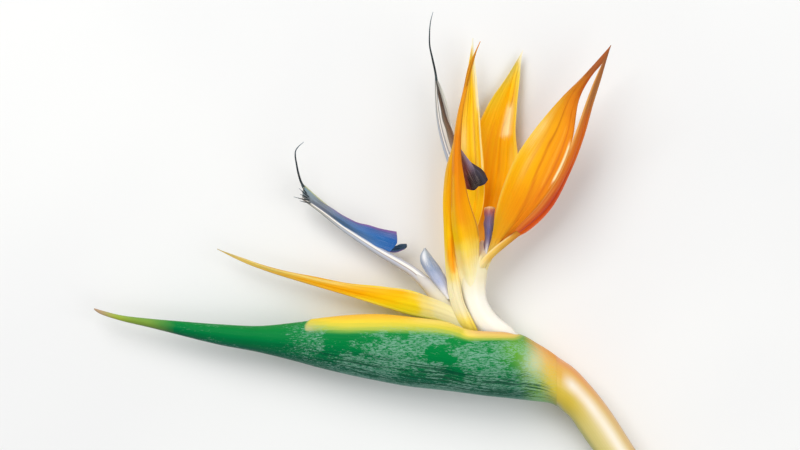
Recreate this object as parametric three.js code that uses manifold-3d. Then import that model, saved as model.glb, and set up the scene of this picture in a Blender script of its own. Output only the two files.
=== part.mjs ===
// Bird of paradise flower (Strelitzia reginae), cut and lying on its side. Millimetres, +Z up.
//
// The plane of the flower lies flat: the beak of the spathe points to -X, the petals to +Y and the
// cut scape to +X and -Y. The flower rests on a flat spot of the spathe's flank, on the cut end of
// the scape and on the keel of the far sepal of flower 2.
import * as THREE from 'three';
import Module from 'manifold-3d';

const wasm = await Module();
wasm.setup();

// ---------------------------------------------------------------- driving dimensions
const SEAT_GAP = 0.3;            // clearance between one organ and the organ that carries it
const MID_PLANE = 15;            // height of the flower's own plane above the surface
const SPATHE_WALL = 1.6;
const SPATHE_MARGIN_BULGE = 1;   // how far the rolled margin stands out of the flank
const SEPAL_RIB = 1.3;           // thickness along the keel of a sepal
const BLADE_EDGE = 0.7;          // thickness along the margin of every blade
const WING_RIB = 1.0;            // thickness of the blue petals where the two wings meet
const SMALL_PETAL_RIB = 1.1;
const STYLE_RADIUS = 0.45;
const KEEL_SHARPNESS = 0.14;     // 0 makes the spathe elliptic, more makes its back narrower
const SPATHE_SIDES = 28;
const NECK_SIDES = 18;
const TUBE_SIDES = 10;
const BLADE_ACROSS = 8;          // strips across a blade, an even number so that the keel is a line
const MIN_BLADE_WIDTH = 0.8;     // width left at the very tip of a blade

const UP = new THREE.Vector3(0, 0, 1);

// ---------------------------------------------------------------- solids
const vector = (p) => new THREE.Vector3(p[0], p[1], p[2] ?? 0);
const smooth = (points) => new THREE.CatmullRomCurve3(points.map(vector), false, 'centripetal');

// A closed solid from shared vertices and triangles, turned so that its faces point out.
function solidFrom(vertices, triangles) {
  let volume = 0;
  for (const [a, b, c] of triangles) {
    volume += vertices[a].dot(new THREE.Vector3().crossVectors(vertices[b], vertices[c]));
  }
  const triVerts = new Uint32Array(triangles.flatMap(([a, b, c]) => (volume < 0 ? [a, c, b] : [a, b, c])));
  const vertProperties = new Float32Array(vertices.flatMap((v) => [v.x, v.y, v.z]));
  return new wasm.Manifold(new wasm.Mesh({ numProp: 3, vertProperties, triVerts }));
}

// A solid through a row of convex rings, closed by a fan at either end.
function loft(rings) {
  const sides = rings[0].length;
  const vertices = rings.flat();
  const triangles = [];
  for (let k = 0; k + 1 < rings.length; k += 1) {
    for (let j = 0; j < sides; j += 1) {
      const next = (j + 1) % sides;
      const [a, b] = [k * sides + j, k * sides + next];
      triangles.push([a, b, b + sides], [a, b + sides, a + sides]);
    }
  }
  const centre = (ring) => ring.reduce((sum, p) => sum.add(p), new THREE.Vector3()).divideScalar(sides);
  const start = vertices.push(centre(rings[0])) - 1;
  const end = vertices.push(centre(rings[rings.length - 1])) - 1;
  const lastRing = (rings.length - 1) * sides;
  for (let j = 0; j < sides; j += 1) {
    const next = (j + 1) % sides;
    triangles.push([start, next, j], [end, lastRing + j, lastRing + next]);
  }
  return solidFrom(vertices, triangles);
}

// Rings given by two opposite points, a half width along Z and a height: the body and the necks.
// grow moves the whole surface outwards; keel makes the second point's side narrower.
function sectionRings(stations, { from = 0, to = 1, steps, sides, keel = 0, grow = 0 }) {
  const first = smooth(stations.map(([a]) => a));
  const second = smooth(stations.map(([, b]) => b));
  const width = smooth(stations.map(([, , halfWidth, height]) => [halfWidth, height, 0]));
  const rings = [];
  for (let k = 0; k <= steps; k += 1) {
    const t = from + (to - from) * (k / steps);
    const [a, b, size] = [first.getPoint(t), second.getPoint(t), width.getPoint(t)];
    const axis = a.clone().sub(b).setZ(0);
    const half = axis.length() / 2 + grow;
    axis.normalize();
    const middle = a.add(b).multiplyScalar(0.5).setZ(size.y);
    rings.push(Array.from({ length: sides }, (_, j) => {
      const angle = (2 * Math.PI * j) / sides;
      const across = (size.x + grow) * Math.sin(angle) * (1 + keel * Math.cos(angle));
      return middle.clone().addScaledVector(axis, half * Math.cos(angle)).addScaledVector(UP, across);
    }));
  }
  return rings;
}

// A round tube along a smooth line of [x, y, z, radius]; flat squashes it along Z.
function tube(line, { steps, sides = TUBE_SIDES, flat = 1, grow = 0 }) {
  const path = smooth(line);
  const radius = smooth(line.map(([, , , r]) => [r, 0, 0]));
  const rings = [];
  for (let k = 0; k <= steps; k += 1) {
    const t = k / steps;
    const along = path.getTangent(t);
    const side = new THREE.Vector3().crossVectors(along, UP).normalize();
    const top = new THREE.Vector3().crossVectors(side, along);
    const r = radius.getPoint(t).x;
    const middle = path.getPoint(t);
    if (k === 0) middle.addScaledVector(along, -grow);
    if (k === steps) middle.addScaledVector(along, grow);
    rings.push(Array.from({ length: sides }, (_, j) => {
      const angle = (2 * Math.PI * j) / sides;
      return middle.clone()
        .addScaledVector(side, (r + grow) * Math.cos(angle))
        .addScaledVector(top, (r * flat + grow) * Math.sin(angle));
    }));
  }
  return loft(rings);
}

// A thin blade between two margins and a keel, each a list of as many points from base to tip.
// fold 2 makes a round cup, a fold near 1 a crease along the keel.
function blade({ left, keel, right }, { rib = SEPAL_RIB, fold = 1.6, steps = 16, grow = 0 }) {
  const [leftRail, keelRail, rightRail] = [smooth(left), smooth(keel), smooth(right)];
  const rows = [];
  let chordDirection = new THREE.Vector3(1, 0, 0);
  for (let k = 0; k <= steps; k += 1) {
    const t = k / steps;
    const [a, m, b] = [leftRail.getPoint(t), keelRail.getPoint(t), rightRail.getPoint(t)];
    const chord = b.clone().sub(a);
    if (chord.length() > MIN_BLADE_WIDTH) chordDirection = chord.clone().normalize();
    const halfChord = Math.max(chord.length(), MIN_BLADE_WIDTH) / 2;
    const sag = a.add(b).multiplyScalar(0.5).sub(m);
    rows.push(Array.from({ length: BLADE_ACROSS + 1 }, (_, i) => {
      const v = ((2 * i) / BLADE_ACROSS - 1) * (1 + grow / halfChord);
      return m.clone().addScaledVector(chordDirection, v * halfChord).addScaledVector(sag, Math.abs(v) ** fold);
    }));
  }
  if (grow > 0) {
    const beyond = (edge, inner) => edge.map((p, i) => p.clone().addScaledVector(
      p.clone().sub(inner[i]).normalize(), grow));
    rows.unshift(beyond(rows[0], rows[1]));
    rows.push(beyond(rows[rows.length - 1], rows[rows.length - 2]));
  }
  return thicken(rows, (i) => {
    const v = (2 * i) / BLADE_ACROSS - 1;
    return BLADE_EDGE + (rib - BLADE_EDGE) * (1 - v * v) + 2 * grow;
  });
}

// A sheet of points given a thickness, with both faces split into triangles alike.
function thicken(rows, thickness) {
  const [last, columns] = [rows.length - 1, rows[0].length];
  const front = [];
  const back = [];
  rows.forEach((row, k) => row.forEach((point, i) => {
    const along = rows[Math.min(k + 1, last)][i].clone().sub(rows[Math.max(k - 1, 0)][i]);
    const across = row[Math.min(i + 1, columns - 1)].clone().sub(row[Math.max(i - 1, 0)]);
    const normal = across.cross(along).normalize();
    front.push(point.clone().addScaledVector(normal, thickness(i) / 2));
    back.push(point.clone().addScaledVector(normal, -thickness(i) / 2));
  }));
  const triangles = [];
  const quad = (a, b, c, d) => triangles.push([a, b, c], [a, c, d]);
  const offset = front.length;
  for (let k = 0; k < last; k += 1) {
    for (let i = 0; i + 1 < columns; i += 1) {
      const [a, b] = [k * columns + i, k * columns + i + 1];
      const [c, d] = [b + columns, a + columns];
      triangles.push([a, b, c], [a, c, d], [a + offset, c + offset, b + offset], [a + offset, d + offset, c + offset]);
    }
    const [leftEdge, rightEdge] = [k * columns, (k + 1) * columns - 1];
    quad(leftEdge, leftEdge + columns, leftEdge + columns + offset, leftEdge + offset);
    quad(rightEdge, rightEdge + offset, rightEdge + columns + offset, rightEdge + columns);
  }
  const tip = last * columns;
  for (let i = 0; i + 1 < columns; i += 1) {
    quad(i, i + offset, i + 1 + offset, i + 1);
    quad(tip + i, tip + i + 1, tip + i + 1 + offset, tip + i + offset);
  }
  return solidFrom([...front, ...back], triangles);
}

// A solid with the grown shapes of its neighbours cut away, and the loose scraps dropped.
function seated(solid, neighbours) {
  const cut = neighbours.reduce((rest, neighbour) => rest.subtract(neighbour(SEAT_GAP)), solid);
  return cut.decompose().sort((a, b) => b.volume() - a.volume())[0];
}

const onSurface = (solid) => solid.trimByPlane([0, 0, 1], 0);

// ---------------------------------------------------------------- spathe and scape
// One body runs from the tip of the beak round the bend into the scape.
// Each station: a point of the upper line, a point of the keel line, half width, height.
const BODY = [
  [[-117.8, -12.1], [-117.4, -12.9], 0.4, 10],
  [[-115.2, -12.8], [-115.4, -14.3], 0.8, 10.5],
  [[-107.2, -14.8], [-107.4, -17], 1.3, 11],
  [[-95.2, -16.2], [-95.6, -19.8], 2.1, 11.8],
  [[-83.2, -17.2], [-83.6, -22.8], 3.3, 12.5],
  [[-67.2, -18.4], [-68, -26.6], 4.9, 13.3],
  [[-51.2, -19], [-52, -29.6], 6.6, 14],
  [[-35.2, -17.4], [-36.4, -33.4], 8.4, 14.5],
  [[-27.2, -16.2], [-28.4, -35.6], 9.5, 14.8],
  [[-15.2, -14.8], [-16.8, -38.4], 11, 15],
  [[-3.2, -14.3], [-4.4, -41], 12.6, 15],
  [[9.2, -15.2], [7.6, -43.2], 14, 15],
  [[23.2, -16.8], [21.6, -44.8], 15, 15],
  [[32, -19.8], [31.2, -46], 15.5, 15],
  [[40.8, -20.6], [40, -47.2], 15.5, 15],
  [[48, -20.8], [48, -48], 14.8, 15],
  [[54.4, -23], [56.8, -49], 13.2, 15],
  [[60, -26.8], [64.8, -50], 11.3, 14.8],
  [[67.2, -32], [67.4, -51.2], 9.7, 14.5],
  [[74, -35.8], [69.6, -53], 8.4, 14.2],
  [[81.2, -43.1], [72.8, -55.8], 7.5, 13.6],
  [[88.8, -52.8], [77.1, -62], 7.1, 12.6],
  [[99.2, -68.8], [87.6, -76.8], 7, 10.8],
  [[108.8, -82.8], [97.2, -90.8], 7, 8.8],
  [[117.8, -98.4], [106.2, -106.4], 7, 6.9],
];
const stationAt = (index) => index / (BODY.length - 1);
const JOINT = stationAt(17);                 // where the spathe ends and the scape begins
const JOINT_CLEARANCE = stationAt(0.055);    // about SEAT_GAP between the two, along the body
const TROUGH_START = stationAt(5);
const SLIT_START = stationAt(7.6);
const SLIT_END = stationAt(15.35);
// half width of the slit from its beak end to its base end
const SLIT_HALF_WIDTHS = [0.5, 1.3, 2.2, 3.2, 4.4, 5.6, 5.9, 5.6, 4.6];
// lower edge of the rolled margin on either flank, from the beak end to the base end
const MARGIN_EDGE = [
  [-34, -20.6], [-32.6, -21.9], [-29.5, -22], [-15, -21], [-3, -20.8], [10, -21], [23, -22], [33, -24.2], [44, -24],
  [50, -22.4],
];

function bodySection(from, to, steps, grow) {
  return loft(sectionRings(BODY, { from, to, steps, sides: SPATHE_SIDES, keel: KEEL_SHARPNESS, grow }));
}

// The slit between the two margins, as a block that reaches from above into the trough.
function slit(grow) {
  const [above, below] = [8, 6];
  const upper = smooth(BODY.map(([a]) => a));
  const keel = smooth(BODY.map(([, b]) => b));
  const halfWidth = smooth(SLIT_HALF_WIDTHS.map((w) => [w, 0, 0]));
  const steps = 12;
  return loft(Array.from({ length: steps + 1 }, (_, k) => {
    const t = SLIT_START + (SLIT_END - SLIT_START) * (k / steps);
    const edge = upper.getPoint(t).setZ(MID_PLANE);
    const rise = edge.clone().sub(keel.getPoint(t)).setZ(0).normalize();
    const w = Math.max(halfWidth.getPoint(k / steps).x - grow, 0.1);
    return [[above, w], [above, -w], [-below, -w], [-below, w]].map(([up, across]) => edge.clone()
      .addScaledVector(rise, up).addScaledVector(UP, across));
  }));
}

// The band of the flanks that the rolled margin covers, cut from a slightly fatter body.
function rolledMargin(grow) {
  const shape = new THREE.Shape();
  const edge = new THREE.SplineCurve(MARGIN_EDGE.map(([x, y]) => new THREE.Vector2(x, y))).getPoints(16);
  shape.setFromPoints([...edge, new THREE.Vector2(50.4, 0), new THREE.Vector2(-33, 0)]);
  const points = shape.getPoints();
  const faces = THREE.ShapeUtils.triangulateShape(points, []);
  const [low, high] = [-2, 2 * MID_PLANE + 2];
  const vertices = [low, high].flatMap((z) => points.map((p) => new THREE.Vector3(p.x, p.y, z)));
  const n = points.length;
  const triangles = faces.flatMap(([a, b, c]) => [[a, c, b], [a + n, b + n, c + n]]);
  for (let j = 0; j < n; j += 1) {
    const next = (j + 1) % n;
    triangles.push([j, next, next + n], [j, next + n, j + n]);
  }
  const band = solidFrom(vertices, triangles);
  return bodySection(stationAt(6.5), stationAt(16.5), 16, SPATHE_MARGIN_BULGE + grow).intersect(band);
}

function spatheSolid(grow = 0) {
  const outside = bodySection(0, JOINT, 28, grow).add(rolledMargin(grow));
  const trough = bodySection(TROUGH_START, JOINT + stationAt(0.5), 16, -SPATHE_WALL - grow);
  return outside.subtract(trough).subtract(slit(grow));
}

function scapeSolid(grow = 0) {
  const start = grow > 0 ? JOINT : JOINT + JOINT_CLEARANCE;
  return bodySection(start, 1, 16, grow);
}

// ---------------------------------------------------------------- necks
// Stations of the thick neck of flower 2: left point, right point, half thickness, height.
const NECK_2 = [
  [[28.4, 5.6], [40, 7.6], 5.4, 15],
  [[28.8, -0.8], [39.4, -0.8], 5.3, 15],
  [[30, -8.8], [39.6, -8.4], 5, 15],
  [[32.6, -16], [43.2, -14.4], 4.9, 15],
  [[37.4, -23], [50, -20.2], 4.5, 15],
  [[45.6, -31.5], [55.2, -26.2], 4, 15],
  [[56, -37.5], [60.5, -30], 3.6, 15],
  [[62.4, -40.5], [65.5, -33], 3.6, 15],
];
const NECK_1 = [
  [22.6, -8.2, 12.9, 4.2], [24.8, -11.4, 12.9, 4.2], [27.6, -15.2, 13.2, 3.8], [31, -21.6, 13.8, 3.4],
  [38.4, -31.4, 14, 3], [49, -38.8, 14, 2.8], [60, -43.8, 14, 2.8], [65.6, -46, 14, 2.8],
];

const neck2Solid = (grow = 0) => loft(sectionRings(NECK_2, { steps: 16, sides: NECK_SIDES, grow }));
const neck1Solid = (grow = 0) => tube(NECK_1, { steps: 14, sides: NECK_SIDES, flat: 0.8, grow });

// ---------------------------------------------------------------- sepals, base to tip
const SEPAL_1_NEAR = {
  left: [[27.2, -16, 18.8], [24.4, -8, 18.8], [23.4, -0.8, 16.9], [22.8, 9.2, 15.8], [22.2, 21.2, 15.6],
    [22, 32.4, 16], [23.2, 43.2, 17], [25.6, 52, 18.5], [28.2, 63.2, 21], [30.4, 73.2, 22.5]],
  keel: [[30.6, -17.4, 19.6], [27.6, -8.8, 19.7], [25.9, -0.8, 18.2], [24.7, 8.8, 17.5], [24.2, 20.8, 17.5],
    [24.4, 32.4, 18.3], [25, 43.2, 19], [26.6, 52, 20], [28.6, 63.2, 21.5], [30.4, 73.2, 22.5]],
  right: [[33.4, -18, 19.4], [30.6, -9.4, 19.2], [28.7, -0.8, 17.2], [27, 8.4, 16.3], [27.2, 20.4, 16.3],
    [27.6, 32.4, 17.2], [27.6, 43.2, 18], [28, 52, 19.2], [29.2, 63.2, 21.3], [30.4, 73.2, 22.5]],
};
const SEPAL_1_FAR = {
  left: [[25.6, -11.2, 7.8], [24.4, -1.2, 8.6], [25.2, 15.2, 10], [27.2, 29.2, 10.5], [28, 45.2, 10.5],
    [28.4, 59.2, 10.5], [30.4, 73.2, 10.5], [32, 84, 10], [34, 96, 9]],
  keel: [[27.2, -12, 7.4], [26.2, -1.6, 7.6], [30, 15.2, 7.4], [33.2, 29.2, 7], [33.6, 44.8, 7],
    [33.2, 59.2, 7.5], [33.2, 73.2, 8], [33.4, 84, 8.6], [34, 96, 9]],
  right: [[29.2, -11.2, 7.8], [28, -1.2, 8.4], [34.4, 16, 9.3], [38.4, 30, 9.5], [38.2, 45.2, 9.5],
    [37.2, 60, 9.5], [36, 73.2, 9.5], [35, 84, 9.4], [34, 96, 9]],
};
const SEPAL_1_LOWER = {
  left: [[28, -11.4, 17.6], [18.4, -8.4, 17.5], [9, -5.3, 16.6], [-1.2, -4, 15], [-15.2, -2.4, 14],
    [-31.2, 0.4, 12.8], [-47.2, 4.2, 11.8], [-59.2, 8.2, 11.2], [-68.4, 11.6, 10.5]],
  keel: [[30.6, -19.4, 13], [21, -16.2, 12.4], [9.8, -14.6, 11.9], [-2.4, -11, 11.5], [-16.4, -6.6, 11.3],
    [-32, -2, 11], [-48, 3, 10.8], [-59.6, 7.4, 10.6], [-68.4, 11.6, 10.5]],
  right: [[28, -11.4, 8.4], [18.4, -8.2, 8], [9, -5, 7.2], [-1.2, -3.6, 7.5], [-15.2, -2, 8.2],
    [-31.2, 0.8, 8.8], [-47.2, 4.4, 9.5], [-59.2, 8.4, 10], [-68.4, 11.6, 10.5]],
};
const SEPAL_2_NEAR = {
  left: [[27.4, 5.4, 16.8], [26.4, 12.4, 17.5], [25.6, 20.8, 19], [25.4, 31.2, 20.5], [25.6, 42.4, 21.5],
    [26, 52, 22.5], [28.4, 65.2, 24.5], [30.8, 76.8, 26], [33.2, 84.8, 27], [36.8, 94.4, 28]],
  keel: [[31.8, 4.2, 21.5], [30.4, 12, 22.4], [28.8, 20.8, 24], [27.6, 31.2, 25], [27.2, 42.4, 25.5],
    [27.4, 52.8, 25.5], [29, 65.2, 26], [31.3, 76.8, 26.8], [33.6, 84.8, 27.4], [36.8, 94.4, 28]],
  right: [[36.6, 5.4, 20.4], [36.6, 13, 19.6], [36, 20, 19.8], [32.4, 31.2, 22], [30.2, 42.4, 23],
    [29, 53.2, 23.8], [29.8, 66.4, 25], [32, 76.8, 26.2], [34, 84.8, 27], [36.8, 94.4, 28]],
};
const SEPAL_2_FAR = {
  left: [[33.5, 4, 9], [34, 20, 5], [32.8, 31.2, 4.5], [32.8, 45.2, 4.5], [34.4, 57.2, 4.5],
    [38.8, 67.2, 4.5], [45.2, 76.8, 4], [50.4, 85.2, 3.5], [54, 91.2, 3]],
  keel: [[36.5, 2.6, 8.3], [39.2, 18.4, 3], [41.2, 31.2, 1], [43.2, 44, 0.5], [44.8, 56.4, 0.4],
    [47.2, 68, 0.6], [49.6, 77.6, 1.2], [52, 85.6, 2.2], [54, 91.2, 3]],
  right: [[39.6, 5, 9.2], [44, 19.2, 6], [49.6, 31.2, 7], [51.6, 45.2, 7.5], [51.4, 57.2, 7],
    [51.6, 68.4, 6], [52.4, 77.6, 5], [53.2, 85.6, 4], [54, 91.2, 3]],
};
// The right sepal of flower 2 is split along its keel near the tip: a broad half and a narrow strip.
const SEPAL_2_RIGHT_BROAD = {
  left: [[37.8, 5.8, 19.2], [41.6, 16, 16.8], [43.2, 26.4, 15.5], [46, 36.4, 16], [51.2, 48, 17],
    [61.2, 60, 19], [71.2, 72, 22.5], [79.2, 79.6, 26], [88.8, 92.8, 31]],
  keel: [[39.4, 5.6, 18.2], [43.8, 15, 19.4], [48.8, 23.2, 22.5], [54, 32.4, 25], [60.8, 45.2, 26],
    [68, 57.6, 26], [74, 71.6, 26], [80.2, 80.2, 28], [88.8, 92.8, 31]],
  right: [[40.4, 5.6, 16.8], [45.8, 14.8, 18], [52.4, 21, 22], [60.8, 29.6, 25.5], [69.2, 42.4, 27],
    [73.6, 55.2, 27], [76.4, 71.2, 27], [81.2, 80.8, 28.5], [88.8, 92.8, 31]],
};
const SEPAL_2_RIGHT_STRIP = {
  left: [[40, 5.4, 17.4], [44.8, 14.6, 18.3], [51, 20.8, 22], [59.2, 29.4, 25.4], [68, 41.6, 26.8],
    [73.6, 54.8, 27], [79.6, 70.8, 28], [83.2, 79.6, 29], [88.8, 92.8, 31]],
  keel: [[40.3, 5.8, 15], [46.3, 14.6, 15.5], [54.2, 19.8, 17], [63.6, 28.8, 19], [71.6, 42.8, 22],
    [76.4, 55.6, 24], [81.4, 70.6, 26.5], [84.8, 79.6, 28.5], [88.8, 92.8, 31]],
  right: [[40.2, 6.6, 12.8], [47, 14.4, 12.5], [56.2, 19, 12], [65.6, 28.4, 13.5], [72.8, 43.2, 16.5],
    [78, 56, 20], [82.4, 70.4, 24], [85.6, 79.6, 27], [88.8, 92.8, 31]],
};

const sepal1NearSolid = (grow = 0) => blade(SEPAL_1_NEAR, { grow });
const sepal1FarSolid = (grow = 0) => blade(SEPAL_1_FAR, { grow });
const sepal1LowerSolid = (grow = 0) => blade(SEPAL_1_LOWER, { fold: 1.4, grow });
const sepal2NearSolid = (grow = 0) => blade(SEPAL_2_NEAR, { grow });
const sepal2FarSolid = (grow = 0) => blade(SEPAL_2_FAR, { grow });
const sepal2RightSolid = (grow = 0) => blade(SEPAL_2_RIGHT_BROAD, { grow })
  .add(blade(SEPAL_2_RIGHT_STRIP, { grow }));

// ---------------------------------------------------------------- arrow-shaped tongues
// Each tongue is two fused blue petals: a pale shaft [x, y, z, radius] that carries two wings.
const SHAFT_1 = [
  [-35.2, 32.6, 13.4, 0.5], [-27.2, 26.8, 13, 0.6], [-19.2, 20.2, 12.6, 0.75], [-11.2, 14.6, 12.2, 1],
  [-3.2, 9.8, 12, 1.3], [4.8, 5.4, 12, 1.7], [9.6, 2.6, 12, 2], [13.6, -0.6, 12, 2.4], [17.6, -4.4, 12.2, 2.9],
  [22.4, -8.8, 12.6, 3.2],
];
const WINGS_1 = {
  left: [[2, 12, 15.5], [3.6, 18, 16.5], [-1.2, 19.8, 16.2], [-8, 22, 15.6], [-15.2, 25, 15],
    [-22.4, 28.8, 14.4], [-29.2, 33.2, 14], [-35.2, 37.6, 14]],
  keel: [[0.6, 8, 12], [-2.4, 9.6, 12], [-6.8, 12.4, 12], [-12.8, 16.2, 12.2], [-19.2, 20.8, 12.6],
    [-25.2, 25.6, 12.9], [-30.8, 30, 13.3], [-35.6, 34.2, 13.6]],
  right: [[7.2, 12.8, 8.5], [4, 16.8, 8], [-1.2, 19.2, 8.4], [-8, 21.6, 9], [-15.2, 24.8, 9.8],
    [-22.4, 28.8, 11], [-29.2, 33.2, 12.4], [-35.2, 37.6, 13.4]],
};
const SHAFT_2 = [
  [19.2, 80.8, 16.6, 0.5], [20.2, 71.6, 15.8, 0.6], [21.8, 62.4, 14.8, 0.8], [24, 53.2, 14, 1], [26, 44.8, 13.4, 1.2],
  [28, 35.2, 13.2, 1.4], [29.6, 25.2, 13.2, 1.7], [31.2, 15.2, 13.4, 2], [33.2, 5.6, 13.8, 2.4],
];
const WINGS_2 = {
  left: [[34.4, 35.2, 14.6], [37.6, 38.8, 15], [34.4, 44, 15.2], [30, 50.4, 15.4], [26.4, 58, 15.8],
    [23.6, 66.4, 16.2], [21.2, 73.6, 16.6], [19, 80.8, 17]],
  keel: [[28.6, 36, 13.3], [27.2, 40.8, 13.3], [25.4, 46.4, 13.6], [23.8, 53.2, 14], [22, 61.2, 14.8],
    [20.6, 69.2, 15.5], [19.7, 76, 16.2], [19, 80.8, 16.7]],
  right: [[38.4, 37.6, 12], [40, 40, 11.8], [35.2, 45.2, 11.8], [30.8, 51.2, 12], [27.2, 59.2, 12.7],
    [24.4, 67.2, 14], [21.6, 74.4, 15.4], [19, 80.8, 16.6]],
};

const tongueSolid = (shaft, wings, grow) => tube(shaft, { steps: 18, grow })
  .add(blade(wings, { rib: WING_RIB, fold: 1.3, steps: 14, grow }));
const tongue1Solid = (grow = 0) => tongueSolid(SHAFT_1, WINGS_1, grow);
const tongue2Solid = (grow = 0) => tongueSolid(SHAFT_2, WINGS_2, grow);

// ---------------------------------------------------------------- small petals and styles
const PETAL_1 = {
  left: [[20.6, -5.8, 13.6], [17.2, -0.4, 13.8], [13.6, 4.8, 13.4], [12.8, 8.4, 13.2], [14.4, 11.8, 13.4]],
  keel: [[22, -6.6, 16], [19.6, -1.2, 16], [16.8, 4, 15.8], [14.9, 8.4, 15.4], [14.8, 12, 14]],
  right: [[23, -6.4, 13.6], [22.4, -0.4, 13.8], [19.8, 4.8, 13.4], [17, 9.2, 13.2], [15.2, 11.8, 13.4]],
};
const PETAL_2 = {
  left: [[38, 6.4, 15.4], [38.6, 16, 14], [38.4, 22.4, 14], [38.4, 28, 14.6]],
  keel: [[39.2, 6, 17], [40.2, 16, 16.4], [40.6, 22.4, 16.2], [40.8, 28.6, 16]],
  right: [[40.4, 7.2, 15], [41.6, 16, 14], [42.3, 22.4, 13.6], [42.9, 28, 14]],
};
const STYLE_1 = [
  [-32.8, 36.2, 14], [-34.8, 38, 14.3], [-36, 41.2, 14.4], [-36.8, 44.5, 14.4], [-37.3, 48, 14.4],
  [-37.3, 50.8, 14.4], [-36.4, 52.2, 14.4], [-34.8, 53.6, 14.4], [-33.7, 54.4, 14.4],
];
const STYLE_2 = [
  [19.4, 79, 17], [18.8, 82.4, 17.4], [18, 86.4, 17.6], [17, 92, 17.8], [17.1, 96, 18], [17.4, 100, 18],
  [18, 106.4, 18],
];

const petal1Solid = (grow = 0) => blade(PETAL_1, { rib: SMALL_PETAL_RIB, fold: 2, steps: 10, grow });
const petal2Solid = (grow = 0) => blade(PETAL_2, { rib: SMALL_PETAL_RIB, fold: 2, steps: 10, grow });
const styleSolid = (line) => tube(line.map((p) => [...p, STYLE_RADIUS]), { steps: 20, sides: 8 });

// ---------------------------------------------------------------- assembly
const flower = new THREE.Group();

function organ(name, solid, color, roughness) {
  const { vertProperties, triVerts } = solid.getMesh();
  const geometry = new THREE.BufferGeometry();
  geometry.setAttribute('position', new THREE.BufferAttribute(vertProperties, 3));
  geometry.setIndex(new THREE.BufferAttribute(triVerts, 1));
  geometry.computeVertexNormals();
  const mesh = new THREE.Mesh(geometry, new THREE.MeshStandardMaterial({ color, roughness, metalness: 0 }));
  mesh.name = name;
  flower.add(mesh);
}

const GREEN = 0x0b8a45;
const STEM_GOLD = 0xe3cf86;
const CREAM = 0xfaf3dc;
const YELLOW = 0xffc21a;
const ORANGE = 0xf8a012;
const BLUE = 0x3f6fb8;
const MAUVE = 0x8a7690;
const LAVENDER = 0xaab0d6;
const DARK_THREAD = 0x1e2a33;

const necks = [neck1Solid, neck2Solid];
const tongues = [tongue1Solid, tongue2Solid];
const carriers = [spatheSolid, ...necks, ...tongues];

organ('spathe', onSurface(spatheSolid()), GREEN, 0.55);
organ('scape', onSurface(scapeSolid()), STEM_GOLD, 0.45);
organ('flower_2_neck', seated(neck2Solid(), [spatheSolid, scapeSolid]), CREAM, 0.5);
organ('flower_1_neck', seated(neck1Solid(), [spatheSolid, scapeSolid, neck2Solid]), CREAM, 0.5);
organ('flower_1_tongue', seated(tongue1Solid(), [...necks]), BLUE, 0.5);
organ('flower_2_tongue', seated(tongue2Solid(), [...necks]), MAUVE, 0.5);
organ('flower_1_sepal_lower', seated(sepal1LowerSolid(), carriers), YELLOW, 0.45);
organ('flower_1_sepal_near', seated(sepal1NearSolid(), [...carriers, sepal1LowerSolid]), YELLOW, 0.45);
organ('flower_1_sepal_far', seated(sepal1FarSolid(), [...carriers, sepal1LowerSolid]), YELLOW, 0.45);
organ('flower_2_sepal_near', seated(sepal2NearSolid(), [...carriers, sepal1NearSolid]), ORANGE, 0.45);
organ('flower_2_sepal_far', onSurface(seated(sepal2FarSolid(), [...carriers, sepal1FarSolid])), YELLOW, 0.45);
organ('flower_2_sepal_right', seated(
  sepal2RightSolid(),
  [...carriers, sepal2NearSolid, sepal2FarSolid],
), ORANGE, 0.45);
organ('flower_1_small_petal', seated(petal1Solid(), [
  ...carriers, sepal1LowerSolid, sepal1NearSolid, sepal1FarSolid,
]), LAVENDER, 0.5);
organ('flower_2_small_petal', seated(petal2Solid(), [
  ...carriers, sepal1FarSolid, sepal2NearSolid, sepal2FarSolid, sepal2RightSolid,
]), MAUVE, 0.5);
organ('flower_1_style', seated(styleSolid(STYLE_1), [tongue1Solid]), DARK_THREAD, 0.5);
organ('flower_2_style', seated(styleSolid(STYLE_2), [tongue2Solid]), DARK_THREAD, 0.5);

export default flower;
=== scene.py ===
# %% [markdown]
# # A cut bird of paradise flower, made petal by petal
# The real object is the head of one flower stem, laid on its side. A green boat-shaped bract, the
# spathe, holds two flowers. Each flower has three orange sepals, a blue tongue of two grown-together
# petals that hides the style, and one small hooded petal. The solids of the CAD model give the place
# and the form of every organ. This lesson covers each of them with a finer skin: thin margins, folds,
# veins, wax and colour. Every skin is a surface worked out with numpy, and every finish is a small
# set of shader nodes.

import bpy
import numpy as np
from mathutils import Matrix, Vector


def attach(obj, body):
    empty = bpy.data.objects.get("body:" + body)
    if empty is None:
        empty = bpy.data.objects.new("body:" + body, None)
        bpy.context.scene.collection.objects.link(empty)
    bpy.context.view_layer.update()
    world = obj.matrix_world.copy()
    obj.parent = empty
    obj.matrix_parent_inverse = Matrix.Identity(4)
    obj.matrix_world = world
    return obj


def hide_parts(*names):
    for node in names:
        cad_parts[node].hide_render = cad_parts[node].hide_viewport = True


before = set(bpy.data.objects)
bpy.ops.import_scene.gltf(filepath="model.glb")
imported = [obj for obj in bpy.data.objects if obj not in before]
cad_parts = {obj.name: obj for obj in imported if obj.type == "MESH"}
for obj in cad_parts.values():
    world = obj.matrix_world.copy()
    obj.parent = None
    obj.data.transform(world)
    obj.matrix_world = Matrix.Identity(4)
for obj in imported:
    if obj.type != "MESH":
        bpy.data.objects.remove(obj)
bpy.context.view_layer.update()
MM = 0.001

# %% [markdown]
# ## Lines through a few points
# An organ of a plant is easy to describe by the lines of its margins. Each line here is a handful of
# points in millimetres, and a smooth curve goes through all of them. A Bezier curve would need two
# handles for each point as well. The Catmull-Rom curve works its slopes out from the neighbours, so
# the points alone are enough, and the same curve drew the solids of the CAD model.

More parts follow.
